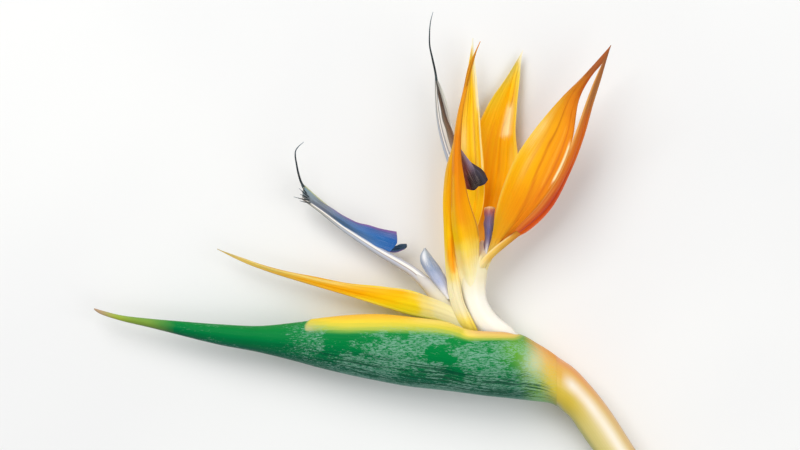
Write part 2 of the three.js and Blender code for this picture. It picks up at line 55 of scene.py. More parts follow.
# %% A smooth curve through points
def curve(points, share):
    """Centripetal Catmull-Rom curve through the points, read at any share from 0 to 1.

    Each stretch between two points is a cubic. Its slopes are the differences to the neighbours,
    each divided by the square root of its distance, which keeps the curve free of loops.
    """
    p = np.asarray(points, float)
    p = np.vstack([2 * p[0] - p[1], p, 2 * p[-1] - p[-2]])
    place = np.clip(np.asarray(share, float), 0, 1) * (len(p) - 3)
    first = np.minimum(place.astype(int), len(p) - 4)
    w = (place - first)[..., None]
    p0, p1, p2, p3 = p[first], p[first + 1], p[first + 2], p[first + 3]
    d0, d1, d2 = (
        np.sqrt(np.linalg.norm(b - a, axis=-1, keepdims=True)) for a, b in ((p0, p1), (p1, p2), (p2, p3))
    )
    d1 = np.where(d1 < 1e-4, 1, d1)
    d0, d2 = np.where(d0 < 1e-4, d1, d0), np.where(d2 < 1e-4, d1, d2)
    start = ((p1 - p0) / d0 - (p2 - p0) / (d0 + d1) + (p2 - p1) / d1) * d1
    end = ((p2 - p1) / d1 - (p3 - p1) / (d1 + d2) + (p3 - p2) / d2) * d1
    bend = 3 * (p2 - p1) - 2 * start - end
    return p1 + start * w + bend * w**2 + (2 * (p1 - p2) + start + end) * w**3


def ease(low, high, value):
    """0 below low, 1 above high, and 3x² − 2x³ of the share between them."""
    x = np.clip((np.asarray(value, float) - low) / (high - low), 0, 1)
    return x * x * (3 - 2 * x)


def numbers(text, columns):
    """A table of numbers typed as text, one row for each station."""
    return np.array(text.split(), float).reshape(-1, columns)


def rails(text):
    """The three lines of a blade. A row has a point of the left margin, the keel and the right margin."""
    return numbers(text, 9).reshape(-1, 3, 3).swapaxes(0, 1)


def unit(vectors):
    """Each vector divided by its length."""
    return vectors / np.maximum(np.linalg.norm(vectors, axis=-1, keepdims=True), 1e-12)


print("half way along a bend:", curve([[0, 0, 0], [10, 0, 0], [10, 10, 0]], 0.5))

# %% [markdown]
# ## From rings to a closed skin
# Every organ here is a row of rings. A stalk has round rings, and a sepal has flat ones: along its
# front face from margin to margin, then back along the other face. Quads join each ring to the next,
# and a fan of triangles closes both ends. Two numbers follow every point as its UV: how far along the
# organ it is and how far across. The veins and the colours need nothing else.

# %% Skins and pieces
def skin(rings, along, across, **marks):
    """Points, faces and UVs of a closed skin over rings[row, point around].

    along has a value for each row, across one for each point around and one more for the seam.
    marks are further values for each ring point, kept as attributes of the mesh.
    """
    rows, around = rings.shape[:2]
    number = np.arange(rows * around).reshape(rows, around)
    a = number[:-1]
    b = np.roll(a, -1, axis=1)
    quads = np.stack([a, b, b + around, a + around], axis=-1).reshape(-1, 4)
    u = np.broadcast_to(along[:, None], (rows, around + 1))
    v = np.broadcast_to(across, (rows, around + 1))
    uv = np.stack([u, v], axis=-1)
    quad_uv = np.stack([uv[:-1, :-1], uv[:-1, 1:], uv[1:, 1:], uv[1:, :-1]], axis=2).reshape(-1, 4, 2)
    first, last = number[0], number[-1]
    pole = np.full(around, rows * around)
    fans = np.concatenate([
        np.stack([pole, np.roll(first, -1), first], axis=-1),
        np.stack([pole + 1, last, np.roll(last, -1)], axis=-1),
    ])
    ends = [np.full((around, 2), (end, 0.5)) for end in (along[0], along[-1])]
    fan_uv = np.concatenate([
        np.stack([ends[0], uv[0, 1:], uv[0, :-1]], axis=1),
        np.stack([ends[1], uv[-1, :-1], uv[-1, 1:]], axis=1),
    ])
    points = np.vstack([rings.reshape(-1, 3), rings[0].mean(0), rings[-1].mean(0)])
    corners = points[np.vstack([quads[:, [0, 1, 2]], quads[:, [0, 2, 3]], fans])]
    volume = np.einsum("ij,ij->", corners[:, 0], np.cross(corners[:, 1], corners[:, 2]))
    if volume < 0:
        quads, quad_uv = quads[:, ::-1], quad_uv[:, ::-1]
        fans, fan_uv = fans[:, ::-1], fan_uv[:, ::-1]
    kept = {}
    for key, value in marks.items():
        value = np.broadcast_to(value, (rows, around))
        kept[key] = np.concatenate([value.ravel(), [value[0].mean(), value[-1].mean()]])
    return {
        "points": points, "quads": quads, "fans": fans, "quad_uv": quad_uv, "fan_uv": fan_uv,
        "marks": kept,
    }


def add_piece(name, skins, finishes, slot, *nodes):
    """One object from several skins, each with its own finish. It stands for the named CAD nodes."""
    sizes = [len(s["points"]) for s in skins]
    shift = np.cumsum([0] + sizes[:-1])
    points = np.vstack([s["points"] for s in skins]) * MM
    faces = []
    uv = []
    finish_index = []
    for i, s in enumerate(skins):
        faces += (s["quads"] + shift[i]).tolist() + (s["fans"] + shift[i]).tolist()
        uv += [s["quad_uv"].reshape(-1, 2), s["fan_uv"].reshape(-1, 2)]
        finish_index += [i % len(finishes)] * (len(s["quads"]) + len(s["fans"]))
    mesh = bpy.data.meshes.new(name)
    mesh.from_pydata(points.tolist(), [], faces)
    layer = mesh.uv_layers.new(name="UVMap")
    layer.data.foreach_set("uv", np.concatenate(uv).astype(np.float32).ravel())
    for key in sorted({key for s in skins for key in s["marks"]}):
        values = [s["marks"].get(key, np.zeros(n)) for s, n in zip(skins, sizes)]
        attribute = mesh.attributes.new(key, "FLOAT", "POINT")
        attribute.data.foreach_set("value", np.concatenate(values).astype(np.float32))
    for finish in finishes:
        mesh.materials.append(finish)
    mesh.polygons.foreach_set("material_index", np.array(finish_index, np.int32))
    mesh.polygons.foreach_set("use_smooth", np.ones(len(mesh.polygons), bool))
    mesh.update()
    piece = bpy.data.objects.new(name, mesh)
    bpy.context.scene.collection.objects.link(piece)
    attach(piece, "root")
    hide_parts(*nodes)
    triangles = sum(2 * len(s["quads"]) + len(s["fans"]) for s in skins)
    print(f"{name}: {triangles} triangles, size in mm {np.round(np.ptp(points, axis=0) / MM, 1)}")


# %% [markdown]
# ## Sheets and blades
# A sepal, a petal and the spathe are all sheets. A sheet is a middle surface with half of its
# thickness on either side, and the thickness falls to nothing at the margins, so they come out thin
# and round. Solidify would give every margin a square edge. A blade is a sheet between two margin
# lines and a keel line. The sepals also get lengthwise folds and ripples, which go into the surface
# itself, so that they show from every side.

# %% Sheets, blades and tubes
def normals_of(surface):
    """Unit normals of a grid of points: the slope across times the slope along."""
    return unit(np.cross(np.gradient(surface, axis=1), np.gradient(surface, axis=0)))


def sheet_rings(middle, thickness):
    """Rings round a sheet: the front from side to side, then the back the other way."""
    offset = normals_of(middle) * thickness[..., None] / 2
    return np.concatenate([middle + offset, (middle - offset)[:, -2:0:-1]], axis=1)


def length_share(path):
    """How far along each point of a path is: the length up to it over the whole length."""
    length = np.concatenate([[0], np.cumsum(np.linalg.norm(np.diff(path, axis=0), axis=1))])
    return length / length[-1]


def there_and_back(values):
    """Values across a sheet, repeated for its back, with the first one again for the seam."""
    return np.concatenate([values, values[-2:0:-1], values[:1]])


def blade(lines, fold=1.6, rib=1.1, edge=0.45, creases=(), veins=0, vein_height=0.05, wave=0.0,
          tip_width=0.35, base_thin=0.0, rows=170, columns=49):
    """A blade from its left margin over the keel to its right margin.

    Across, v runs from -1 to 1. The surface is keel + v·half width + sag·|v|^fold, where the sag
    is the vector from the keel to the middle between the margins. Creases are ridges along the
    blade: (v, width, height) adds height·exp(-((v - v0) / width)²) along the normal. Veins add a
    fine cosine across, and wave lets the margins rise and fall.
    """
    steps = np.linspace(0, 1, rows)
    v = np.sin(np.linspace(-np.pi / 2, np.pi / 2, columns))
    left, keel, right = (curve(line, steps) for line in lines)
    u = length_share(keel)
    chord = right - left
    width = np.linalg.norm(chord, axis=1)
    sound = np.maximum.accumulate(np.where(width > tip_width, np.arange(rows), 0))
    half = np.maximum(width, tip_width)[:, None] / 2
    middle = keel[:, None] + (half * v)[..., None] * unit(chord)[sound][:, None]
    middle = middle + (np.abs(v) ** fold)[:, None] * ((left + right) / 2 - keel)[:, None]
    fade = ease(0, 0.12, u)[:, None] * ease(0, 0.2, 1 - u)[:, None]
    height = sum(h * np.exp(-(((v - v0) / w) ** 2)) for v0, w, h in creases) + np.zeros(columns)
    height = height * fade + vein_height * np.cos(np.pi * veins * v) * fade * bool(veins)
    swing = np.sin(2 * np.pi * (3.1 * u + 0.2))[:, None] + 0.6 * np.sin(2 * np.pi * 5.3 * u)[:, None] * v
    height = height + wave * swing * np.abs(v) ** 3 * fade
    middle = middle + normals_of(middle) * height[..., None]
    thickness = (edge + (rib - edge) * (1 - v**2)) * np.sqrt(np.maximum(1 - np.abs(v) ** 10, 0))
    end = 0.3 + 0.7 * ease(0, 0.15, 1 - u)
    start = 1 - base_thin * (1 - ease(0, 0.22, u))
    thickness = thickness * (end * start)[:, None]
    side = np.concatenate([np.ones(columns), np.zeros(columns - 2)])
    return skin(sheet_rings(middle, thickness), u, there_and_back((v + 1) / 2), side=side)


def frame_along(path):
    """Side and top directions of a path: the side is level, the top is square to both."""
    ahead = unit(np.gradient(path, axis=0))
    side = unit(np.cross(ahead, [0, 0, 1]))
    return side, np.cross(side, ahead)


def tube(line, flat=1.0, groove=0.0, rows=120, around=28):
    """A tube along a line of (x, y, z, radius): middle + r·cos(a)·side + r·flat·sin(a)·top.

    The groove lowers the radius where the tube faces up, as r·(1 - groove·exp(-((a - 90°) / 20°)²)).
    """
    data = curve(line, np.linspace(0, 1, rows))
    u = length_share(data[:, :3])
    side, top = frame_along(data[:, :3])
    angle = np.linspace(0, 2 * np.pi, around, endpoint=False)
    dip = 1 - groove * np.exp(-(((angle - np.pi / 2) / 0.35) ** 2))
    radius = data[:, 3:4] * dip
    rings = data[:, None, :3] + (radius * np.cos(angle))[..., None] * side[:, None]
    rings = rings + (radius * flat * np.sin(angle))[..., None] * top[:, None]
    return skin(rings, u, np.linspace(0, 1, around + 1))


flat_sheet = np.stack(np.meshgrid(np.arange(9.0), np.arange(4.0), [0.0]), axis=-1)[:, :, 0]
print("a sheet's ring has", sheet_rings(flat_sheet, np.ones((4, 9))).shape[1], "points")

# %% [markdown]
# ## Floor, camera and light
# The flower lies on a plain pale table and is looked at from straight above, so the camera needs no
# turn: up in the picture is +Y. A long lens far away keeps the high and the low petals at one scale.
# One large soft lamp from the upper left gives the shape, a weaker one fills the other side, and the
# pale world lights the undersides.

# %% Camera
VIEW_WIDTH = 0.320
VIEW_CENTRE = (0.0048, 0.0212)
CAMERA_HEIGHT = 4.0
MIDDLE_HEIGHT = 0.015
camera_data = bpy.data.cameras.new("camera")
camera_data.sensor_width = 36
camera_data.lens = camera_data.sensor_width * CAMERA_HEIGHT / VIEW_WIDTH
camera_data.clip_end = 50
camera = bpy.data.objects.new("camera", camera_data)
camera.location = (*VIEW_CENTRE, CAMERA_HEIGHT + MIDDLE_HEIGHT)
bpy.context.scene.collection.objects.link(camera)
bpy.context.scene.camera = camera
bpy.context.scene.view_settings.view_transform = "Standard"
print("lens in mm:", round(camera_data.lens))

# %% Lamps and world
def lamp(name, place, size, power, tint):
    """A square area lamp that points at the middle of the flower."""
    data = bpy.data.lights.new(name, "AREA")
    data.size = size
    data.energy = power
    data.color = tint
    made = bpy.data.objects.new(name, data)
    made.location = place
    aim = Vector((0.0, 0.0, MIDDLE_HEIGHT)) - made.location
    made.rotation_euler = aim.to_track_quat("-Z", "Y").to_euler()
    made.visible_camera = False
    bpy.context.scene.collection.objects.link(made)


lamp("key lamp", (-0.5, 0.75, 1.15), 0.9, 14.2, (1.0, 0.985, 0.955))
lamp("fill lamp", (0.8, -0.35, 1.1), 1.1, 8.0, (1.0, 0.99, 0.97))
world = bpy.data.worlds.new("pale room")
world.use_nodes = True
world.node_tree.nodes["Background"].inputs["Color"].default_value = (0.97, 0.98, 1.0, 1)
world.node_tree.nodes["Background"].inputs["Strength"].default_value = 0.40
bpy.context.scene.world = world

# %% [markdown]
# ## Nodes by the line
# A finish is a small tree of nodes. It could be clicked together, but written down it can be read
# and repeated. The next cell has the few words that all the finishes are written with. Each call of
# node adds one node to the tree that is open. What comes out of a node can be added and multiplied
# with the usual signs, and every sign adds a Math node. A ramp is typed as places with their paints.

# %% Words for nodes
class Pen:
    """Holds the tree that all the words below write into."""

    tree = None


class Value:
    """A number or a colour on its way through the open tree. Each sum with it adds one Math node."""

    def __init__(self, socket):
        self.socket = socket

    def __add__(self, other):
        return calc("ADD", self, other)

    def __sub__(self, other):
        return calc("SUBTRACT", self, other)

    def __rsub__(self, other):
        return calc("SUBTRACT", other, self)

    def __mul__(self, other):
        return calc("MULTIPLY", self, other)

    def __truediv__(self, other):
        return calc("DIVIDE", self, other)

    def __rtruediv__(self, other):
        return calc("DIVIDE", other, self)

    def __pow__(self, other):
        return calc("POWER", self, other)

    def __abs__(self):
        return calc("ABSOLUTE", self)


def paint(code):
    """A colour from its usual six-digit code, turned from screen values to light values."""
    screen = np.array([int(code[i:i + 2], 16) for i in (0, 2, 4)]) / 255
    light = np.where(screen <= 0.04045, screen / 12.92, ((screen + 0.055) / 1.055) ** 2.4)
    return (*light.tolist(), 1.0)


def link(value, socket):
    """Leads a value into a socket."""
    Pen.tree.links.new(value.socket, socket)


def outputs_of(made):
    """The outputs of a node as values, each under its name."""
    return {socket.name: Value(socket) for socket in made.outputs if socket.name}


def fill(made, sockets):
    """Gives each named socket of a node a value or a link."""
    for key, value in dict(sockets).items():
        if isinstance(value, Value):
            link(value, made.inputs[key])
        else:
            made.inputs[key].default_value = value


def node(kind, sockets=(), give=0, **settings):
    """Adds a node, sets its properties and its sockets, and gives back one of its outputs."""
    made = Pen.tree.nodes.new(kind)
    for key, value in settings.items():
        setattr(made, key, value)
    fill(made, sockets)
    return made if give is None else Value(made.outputs[give])


def calc(operation, *values, clamp=False):
    """One step of arithmetic."""
    return node("ShaderNodeMath", enumerate(values), operation=operation, use_clamp=clamp)


def mix(share, first, second, blend="MIX"):
    """Two colours mixed by a share."""
    return node("ShaderNodeMix", {0: share, 6: first, 7: second}, 2, data_type="RGBA", blend_type=blend)


def smooth_step(value, low, high):
    """0 below low, 1 above high, smooth between."""
    sockets = {"Value": value, "From Min": low, "From Max": high}
    return node("ShaderNodeMapRange", sockets, interpolation_type="SMOOTHSTEP")


def ramp(value, stops):
    """A smooth colour ramp with a paint code at each place."""
    made = node("ShaderNodeValToRGB", {"Fac": value}, None)
    band = made.color_ramp
    band.interpolation = "EASE"
    while len(band.elements) < len(stops):
        band.elements.new(0.5)
    for element, (place, code) in zip(band.elements, stops.items()):
        element.position = place
        element.color = paint(code)
    return Value(made.outputs["Color"])


def group(name, inputs, outputs):
    """Opens an empty node group with named sockets, and gives back its inputs and outputs too."""
    Pen.tree = bpy.data.node_groups.new(name, "ShaderNodeTree")
    for key, (kind, value) in inputs.items():
        socket = Pen.tree.interface.new_socket(name=key, in_out="INPUT", socket_type=kind)
        socket.default_value = value
    for key, kind in outputs.items():
        Pen.tree.interface.new_socket(name=key, in_out="OUTPUT", socket_type=kind)
    given = outputs_of(Pen.tree.nodes.new("NodeGroupInput"))
    return Pen.tree, given, Pen.tree.nodes.new("NodeGroupOutput").inputs


def use(shared, sockets):
    """Places a shared group in the open tree and gives back its outputs."""
    made = Pen.tree.nodes.new("ShaderNodeGroup")
    made.node_tree = shared
    fill(made, sockets)
    return outputs_of(made)


NUMBER = "NodeSocketFloat"
COLOUR = "NodeSocketColor"
GREY = (0.5, 0.5, 0.5, 1)
print("marigold as light:", np.round(paint("f5a70a"), 3))

# %% [markdown]
# ## Five effects that the finishes share
# Bird of paradise is a monocot, so all its veins run side by side along the organ. The first group
# draws them from the UV, with a little waver, and adds the finer fibres between them. The second
# lays three colour lanes side by side across a sepal. The third is a soft oval spot: on the sepals
# and the hoods it lays painted highlights, and on the spathe it places patches of colour. The fourth
# is a stroke, a straight line from one place of the organ to another, for creases, streaks and some
# painted highlights. The last is a mottle, the slow change of colour over living tissue.

# %% Veins and fibres
veins, given, out = group(
    "lengthwise veins",
    {"Along": (NUMBER, 0.5), "Across": (NUMBER, 0.5), "Count": (NUMBER, 20.0), "Waver": (NUMBER, 0.5)},
    {"Vein": NUMBER, "Fibre": NUMBER, "Height": NUMBER},
)
place = node("ShaderNodeCombineXYZ", {0: given["Along"] * 4.0, 1: given["Across"]})
sway = node("ShaderNodeTexNoise", {"Vector": place, "Scale": 1.6, "Detail": 1.0})
bent = (sway - 0.5) * given["Waver"]
lines = given["Across"] * given["Count"] + bent
apart = abs(calc("FRACT", lines) - 0.5) * 2.0
vein_line = apart ** 5.0
fine = node(
    "ShaderNodeCombineXYZ", {0: given["Along"] * 5.0, 1: (given["Across"] + bent * 0.02) * 75.0},
)
fibre = node("ShaderNodeTexNoise", {"Vector": fine, "Scale": 1.0, "Detail": 5.0, "Roughness": 0.7})
spread = (fibre - 0.5) * 1.5
fibres = calc("ADD", spread, 0.5, clamp=True)
link(vein_line, out["Vein"])
link(fibres, out["Fibre"])
link(vein_line * 0.5 + fibres, out["Height"])
print("vein group:", len(veins.nodes), "nodes")

# %% Colour lanes
lanes, given, out = group(
    "colour lanes",
    {
        "Left": (COLOUR, GREY), "Middle": (COLOUR, GREY), "Right": (COLOUR, GREY),
        "Across": (NUMBER, 0.5), "Left at": (NUMBER, 0.0), "Middle at": (NUMBER, 0.5),
        "Right at": (NUMBER, 1.0),
    },
    {"Color": COLOUR},
)
near = smooth_step(given["Across"], given["Left at"], given["Middle at"])
far = smooth_step(given["Across"], given["Middle at"], given["Right at"])
both = mix(far, mix(near, given["Left"], given["Middle"]), given["Right"])
link(both, out["Color"])
print("lane group:", len(lanes.nodes), "nodes")

# %% Soft spot, stroke and mottle
highlight_and_patch_spot, given, out = group(
    "highlight_and_patch_spot",
    {
        "Along": (NUMBER, 0.5), "Across": (NUMBER, 0.5), "At along": (NUMBER, 0.5),
        "At across": (NUMBER, 0.5), "Length": (NUMBER, 0.1), "Width": (NUMBER, 0.1),
    },
    {"Mask": NUMBER},
)
far_along = (given["Along"] - given["At along"]) / given["Length"]
far_across = (given["Across"] - given["At across"]) / given["Width"]
squares = far_along ** 2.0 + far_across ** 2.0
link(calc("EXPONENT", squares * -1.0), out["Mask"])

stroke, given, out = group(
    "stroke along the organ",
    {
        "Along": (NUMBER, 0.5), "Across": (NUMBER, 0.5), "From along": (NUMBER, 0.2),
        "From across": (NUMBER, 0.5), "To along": (NUMBER, 0.8), "To across": (NUMBER, 0.5),
        "Width": (NUMBER, 0.05),
    },
    {"Line": NUMBER, "Beyond": NUMBER},
)
run = given["To along"] - given["From along"]
step = calc("DIVIDE", given["Along"] - given["From along"], run, clamp=True)
slant = step * (given["To across"] - given["From across"])
aside = given["Across"] - (given["From across"] + slant)
aside = aside / given["Width"]
bell = calc("EXPONENT", aside ** 2.0 * -1.0)
inside = calc("MULTIPLY", step * (1.0 - step), 9.0, clamp=True)
link(bell * inside, out["Line"])
link(smooth_step(aside, -1.0, 1.0) * inside, out["Beyond"])

mottle, given, out = group(
    "living mottle",
    {"Size": (NUMBER, 0.01), "Contrast": (NUMBER, 1.0)},
    {"Value": NUMBER},
)
spot = node("ShaderNodeTexCoord", give="Object")
cells = node("ShaderNodeTexNoise", {"Vector": spot, "Scale": 1.0 / given["Size"], "Detail": 3.0})
swing = (cells - 0.5) * given["Contrast"]
link(calc("ADD", swing, 0.5, clamp=True), out["Value"])
print("shared groups:", [g.name for g in bpy.data.node_groups])

# %% The parts that every finish starts with
def new_finish(name):
    """Opens the tree of a new material, and gives back its shader and the two UV numbers too."""
    material = bpy.data.materials.new(name)
    material.use_nodes = True
    Pen.tree = material.node_tree
    shader = Pen.tree.nodes["Principled BSDF"]
    uv = node("ShaderNodeUVMap", uv_map="UVMap")
    parts = outputs_of(node("ShaderNodeSeparateXYZ", {0: uv}, give=None))
    return material, shader, parts["X"], parts["Y"]


def mark(name):
    """A value that the mesh keeps for each point."""
    return node("ShaderNodeAttribute", give="Fac", attribute_name=name)


def roughen(shader, height, strength, distance, low, high, mask):
    """Bump from a height, and roughness between two values by a mask."""
    bump = node("ShaderNodeBump", {"Height": height, "Strength": strength, "Distance": distance})
    link(bump, shader.inputs["Normal"])
    rough = node("ShaderNodeMapRange", {"Value": mask, "To Min": low, "To Max": high})
    link(rough, shader.inputs["Roughness"])


def soften(shader, share, tint=(1.0, 0.6, 0.25), depth=0.0012, shine=0.2):
    """Light that goes a little way into the tissue before it comes out again, under a faint shine."""
    shader.inputs["Specular IOR Level"].default_value = shine
    shader.inputs["Subsurface Weight"].default_value = share
    shader.inputs["Subsurface Radius"].default_value = tint
    shader.inputs["Subsurface Scale"].default_value = depth


def vein_shape(along, across, count, waver):
    """The outputs of the vein group for so many veins."""
    return use(veins, {"Along": along, "Across": across, "Count": count, "Waver": waver})


def clouds(size, contrast):
    """The mottle's value, for spots of a size in metres."""
    return use(mottle, {"Size": size, "Contrast": contrast})["Value"]


def soft_spot(along, across, at_along, at_across, length, width):
    """The mask of the soft spot group."""
    names = ("Along", "Across", "At along", "At across", "Length", "Width")
    return use(highlight_and_patch_spot, dict(zip(names, (along, across, at_along, at_across, length, width))))["Mask"]


def soft_line(along, across, start, end, width, output="Line"):
    """The stroke's mask from start to end, each given as (along, across)."""
    names = ("Along", "Across", "From along", "From across", "To along", "To across", "Width")
    return use(stroke, dict(zip(names, (along, across, *start, *end, width))))[output]


def three_lanes(along, across, left, middle, right, places=(0.0, 0.5, 1.0)):
    """The colour of three ramps along the organ, laid side by side."""
    names = ("Left", "Middle", "Right", "Across", "Left at", "Middle at", "Right at")
    colours = [ramp(along, stops) for stops in (left, middle, right)]
    return use(lanes, dict(zip(names, (*colours, across, *places))))["Color"]


print("finishes so far:", len(bpy.data.materials))


# %% The table
table_finish, shader, along, across = new_finish("pale table")
where = node("ShaderNodeTexCoord", give="Object")
paper = node("ShaderNodeTexNoise", {"Vector": where, "Scale": 6.0, "Detail": 2.0})
tone = ramp(paper, {0.3: "e9eaeb", 0.7: "eeefef"})
link(tone, shader.inputs["Base Color"])
roughen(shader, paper, 0.02, 0.0001, 0.75, 0.85, paper)
bpy.ops.mesh.primitive_plane_add(size=14.0)
table = bpy.context.object
table.name = "table"
table.data.materials.append(table_finish)
print("table side in metres:", table.dimensions.x)

# %% [markdown]
# ## The spathe and the stalk
# The spathe is a stiff leaf folded along its keel, with its two margins pressed together. It starts
# as the beak, opens into a slit that lets the flowers out, and at its base it wraps the stalk. Both
# follow one long body, given by its upper line, its keel line, its half width and its height. The
# spathe is a sheet round that body from one margin to the other. Near the flowers its margins are
# thick, rolled outwards and yellow, and they end in a round step on the flank.

# %% The long body
# Each station: a point of the upper line, a point of the keel line, half width, height.
BODY = numbers("""
    -117.8 -12.1  -117.4 -12.9  0.4 10
    -115.2 -12.8  -115.4 -14.3  0.8 10.5
    -107.2 -14.8  -107.4 -17  1.3 11
    -95.2 -16.2  -95.6 -19.8  2.1 11.8
    -83.2 -17.2  -83.6 -22.8  3.3 12.5
    -67.2 -18.4  -68 -26.6  4.9 13.3
    -51.2 -19  -52 -29.6  6.6 14
    -35.2 -17.4  -36.4 -33.4  8.4 14.5
    -27.2 -16.2  -28.4 -35.6  9.5 14.8
    -15.2 -14.8  -16.8 -38.4  11 15
    -3.2 -14.3  -4.4 -41  12.6 15
    9.2 -15.2  7.6 -43.2  14 15
    23.2 -16.8  21.6 -44.8  15 15
    32 -19.8  31.2 -46  15.5 15
    40.8 -20.6  40 -47.2  15.5 15
    48 -20.8  48 -48  14.8 15
    54.4 -23  56.8 -49  13.2 15
    60 -26.8  64.8 -50  11.3 14.8
    67.2 -32  67.4 -51.2  9.7 14.5
    74 -35.8  69.6 -53  8.4 14.2
    81.2 -43.1  72.8 -55.8  7.5 13.6
    88.8 -52.8  77.1 -62  7.1 12.6
    99.2 -68.8  87.6 -76.8  7 10.8
    108.8 -82.8  97.2 -90.8  7 8.8
    117.8 -98.4  106.2 -106.4  7 6.9
""", 6)
LAST_STATION = len(BODY) - 1
KEEL_SHARPNESS = 0.14


def body_lines(stations, share):
    """The two lines and the sizes (half thickness, height) of a table of stations, at any share."""
    flat = np.insert(stations, [2, 4, 6], 0, axis=1)
    return curve(flat[:, :3], share), curve(flat[:, 3:6], share), curve(flat[:, 6:], share)


def shoulder(x, ridge):
    "The body stands 1.2·exp(−((x − 65) / 6)²) mm prouder along its ridge, where the spathe wraps the stalk."
    return 1.2 * np.exp(-((x - 65) / 6) ** 2) * ease(0.5, 0.95, ridge)


def body(station, angle, grow=0.0):
    """Points of the body: middle + half height·cos(a) + half width·sin(a)·(1 + 0.14·cos(a)) upwards.

    The angle a is 0 on the upper line and 180 degrees on the keel. grow moves the surface out.
    """
    share = np.asarray(station, float) / LAST_STATION
    upper, keel, size = body_lines(BODY, share)
    axis = unit(upper - keel)
    half = np.linalg.norm(upper - keel, axis=-1)[..., None] / 2 + grow
    wide = (size[..., :1] + grow) * (1 + KEEL_SHARPNESS * np.cos(angle))
    points = (upper + keel)[..., None, :] / 2 + (half * np.cos(angle))[..., None] * axis[..., None, :]
    points[..., 2] = size[..., 1:2] + wide * np.sin(angle)
    return points


print("station 12 in mm:", body(np.array([12.0]), np.array([[0.0, np.pi]])).round(1).tolist())

# %% The spathe as a sheet
SPATHE_END = 18.0
SLIT = (7.6, 15.35)
SLIT_HALF_WIDTH = [0.5, 1.3, 2.2, 3.2, 4.4, 5.6, 5.9, 5.6, 4.6]
SPATHE_WALL = 1.5
ROLL = 0.55
RIBS = 46
RIB_HEIGHT = 0.05
# The lower edge of the rolled margin on the flank, from the beak's side to the stalk's.
MARGIN_EDGE = [
    [-34, -20.6], [-32.6, -21.9], [-29.5, -22], [-15, -21], [-3, -20.8], [10, -21], [23, -22],
    [33, -24.2], [44, -24], [50, -22.4],
]


def spathe_skin(rows=520, columns=121):
    """The spathe: the body's sheet from margin to margin, at half a wall below the body's skin.

    The margin angle comes from the slit's half width w as arcsin(w / half width of the body). The
    rolled margin lifts the sheet by ROLL millimetres inside its outline, over a short round step.
    """
    station = np.linspace(0, SPATHE_END, rows)
    share = station / LAST_STATION
    half_width = body_lines(BODY, share)[2][:, 0]
    open_share = np.clip((station - SLIT[0]) / (SLIT[1] - SLIT[0]), 0, 1)
    slit = curve([[w, 0, 0] for w in SLIT_HALF_WIDTH], open_share)[:, 0]
    slit = slit * ease(SLIT[0] - 0.9, SLIT[0] + 0.3, station)
    slit = slit * (1 - ease(SLIT[1], SLIT[1] + 0.55, station))
    slit = np.maximum(slit, 0.04)
    gap = np.arcsin(np.clip(slit / (half_width * (1 + KEEL_SHARPNESS)), 0, 0.9))
    w = np.sin(np.linspace(-np.pi / 2, np.pi / 2, columns)) * 0.35 + np.linspace(-1, 1, columns) * 0.65
    angle = np.pi + (np.pi - gap)[:, None] * w
    wall = np.minimum(SPATHE_WALL, 0.85 * half_width)[:, None]
    flat = body(station, angle)
    edge = curve([[*p, 0] for p in MARGIN_EDGE], np.linspace(0, 1, 400))
    edge_y = np.interp(flat[..., 0], edge[:, 0], edge[:, 1])
    above = flat[..., 1] - edge_y - 2.0 * (1 - ease(-33, -14, flat[..., 0]))
    x, y = flat[..., 0], flat[..., 1]
    left_end = -33.7 + 3.2 * ((y + 20.4) / 4) ** 2
    inside = ease(-0.2, 1.3, x - left_end) * (1 - ease(32, 44, x))
    foot = ease(24, 34, x) * (1 - ease(49, 56, x)) * ease(-26.0, -21.4, y)
    band = np.maximum(inside * np.clip((above + 2) / 7.2, 0, 1), foot)
    lift = ease(-0.1, 0.6, x - left_end) * (1 - ease(40, 52, x)) * ease(-0.4, 2.6, above) * ROLL
    lift = lift + shoulder(x, np.abs(w))
    thickness = wall * np.sqrt(np.maximum(1 - np.abs(w) ** 26, 0))
    rim = (0.15 + 0.85 * ease(0, 2.4, SPATHE_END - station))[:, None]
    grow = lift - wall * rim / 2
    middle = body(station, angle, grow)
    ribbed = ease(3, 6, station) * (1 - ease(13, 16.5, station))
    ribs = RIB_HEIGHT * np.cos(RIBS * angle) * ribbed[:, None] * (1 - 0.7 * band)
    middle = middle + normals_of(middle) * ribs[..., None]
    rings = sheet_rings(middle, thickness * rim)
    back = np.zeros((rows, columns - 2))
    marks = {
        "inner": np.concatenate([np.zeros((rows, columns)), back + 1], axis=1),
        "band": np.concatenate([band, band[:, -2:0:-1]], axis=1),
        "down": np.concatenate([1 - np.abs(w), (1 - np.abs(w))[-2:0:-1]]),
    }
    return skin(rings, share * LAST_STATION / SPATHE_END, there_and_back((w + 1) / 2), **marks)


spathe_sheet = spathe_skin()
print("spathe band covers", round(float(spathe_sheet["marks"]["band"].mean()), 3), "of its points")

# %% [markdown]
# ## The finish of the spathe
# A living spathe is blue-green with a bloom of wax, a pale dust that rubs off in fine lengthwise
# scratches. The beak dries to yellow-green, the rolled margin is butter yellow, and at the base the
# green gives way to the gold of the stalk. One ramp across the flank gives the green, three masks
# lay yellow, gold and the inside over it, and the wax comes last, because it lies on top.

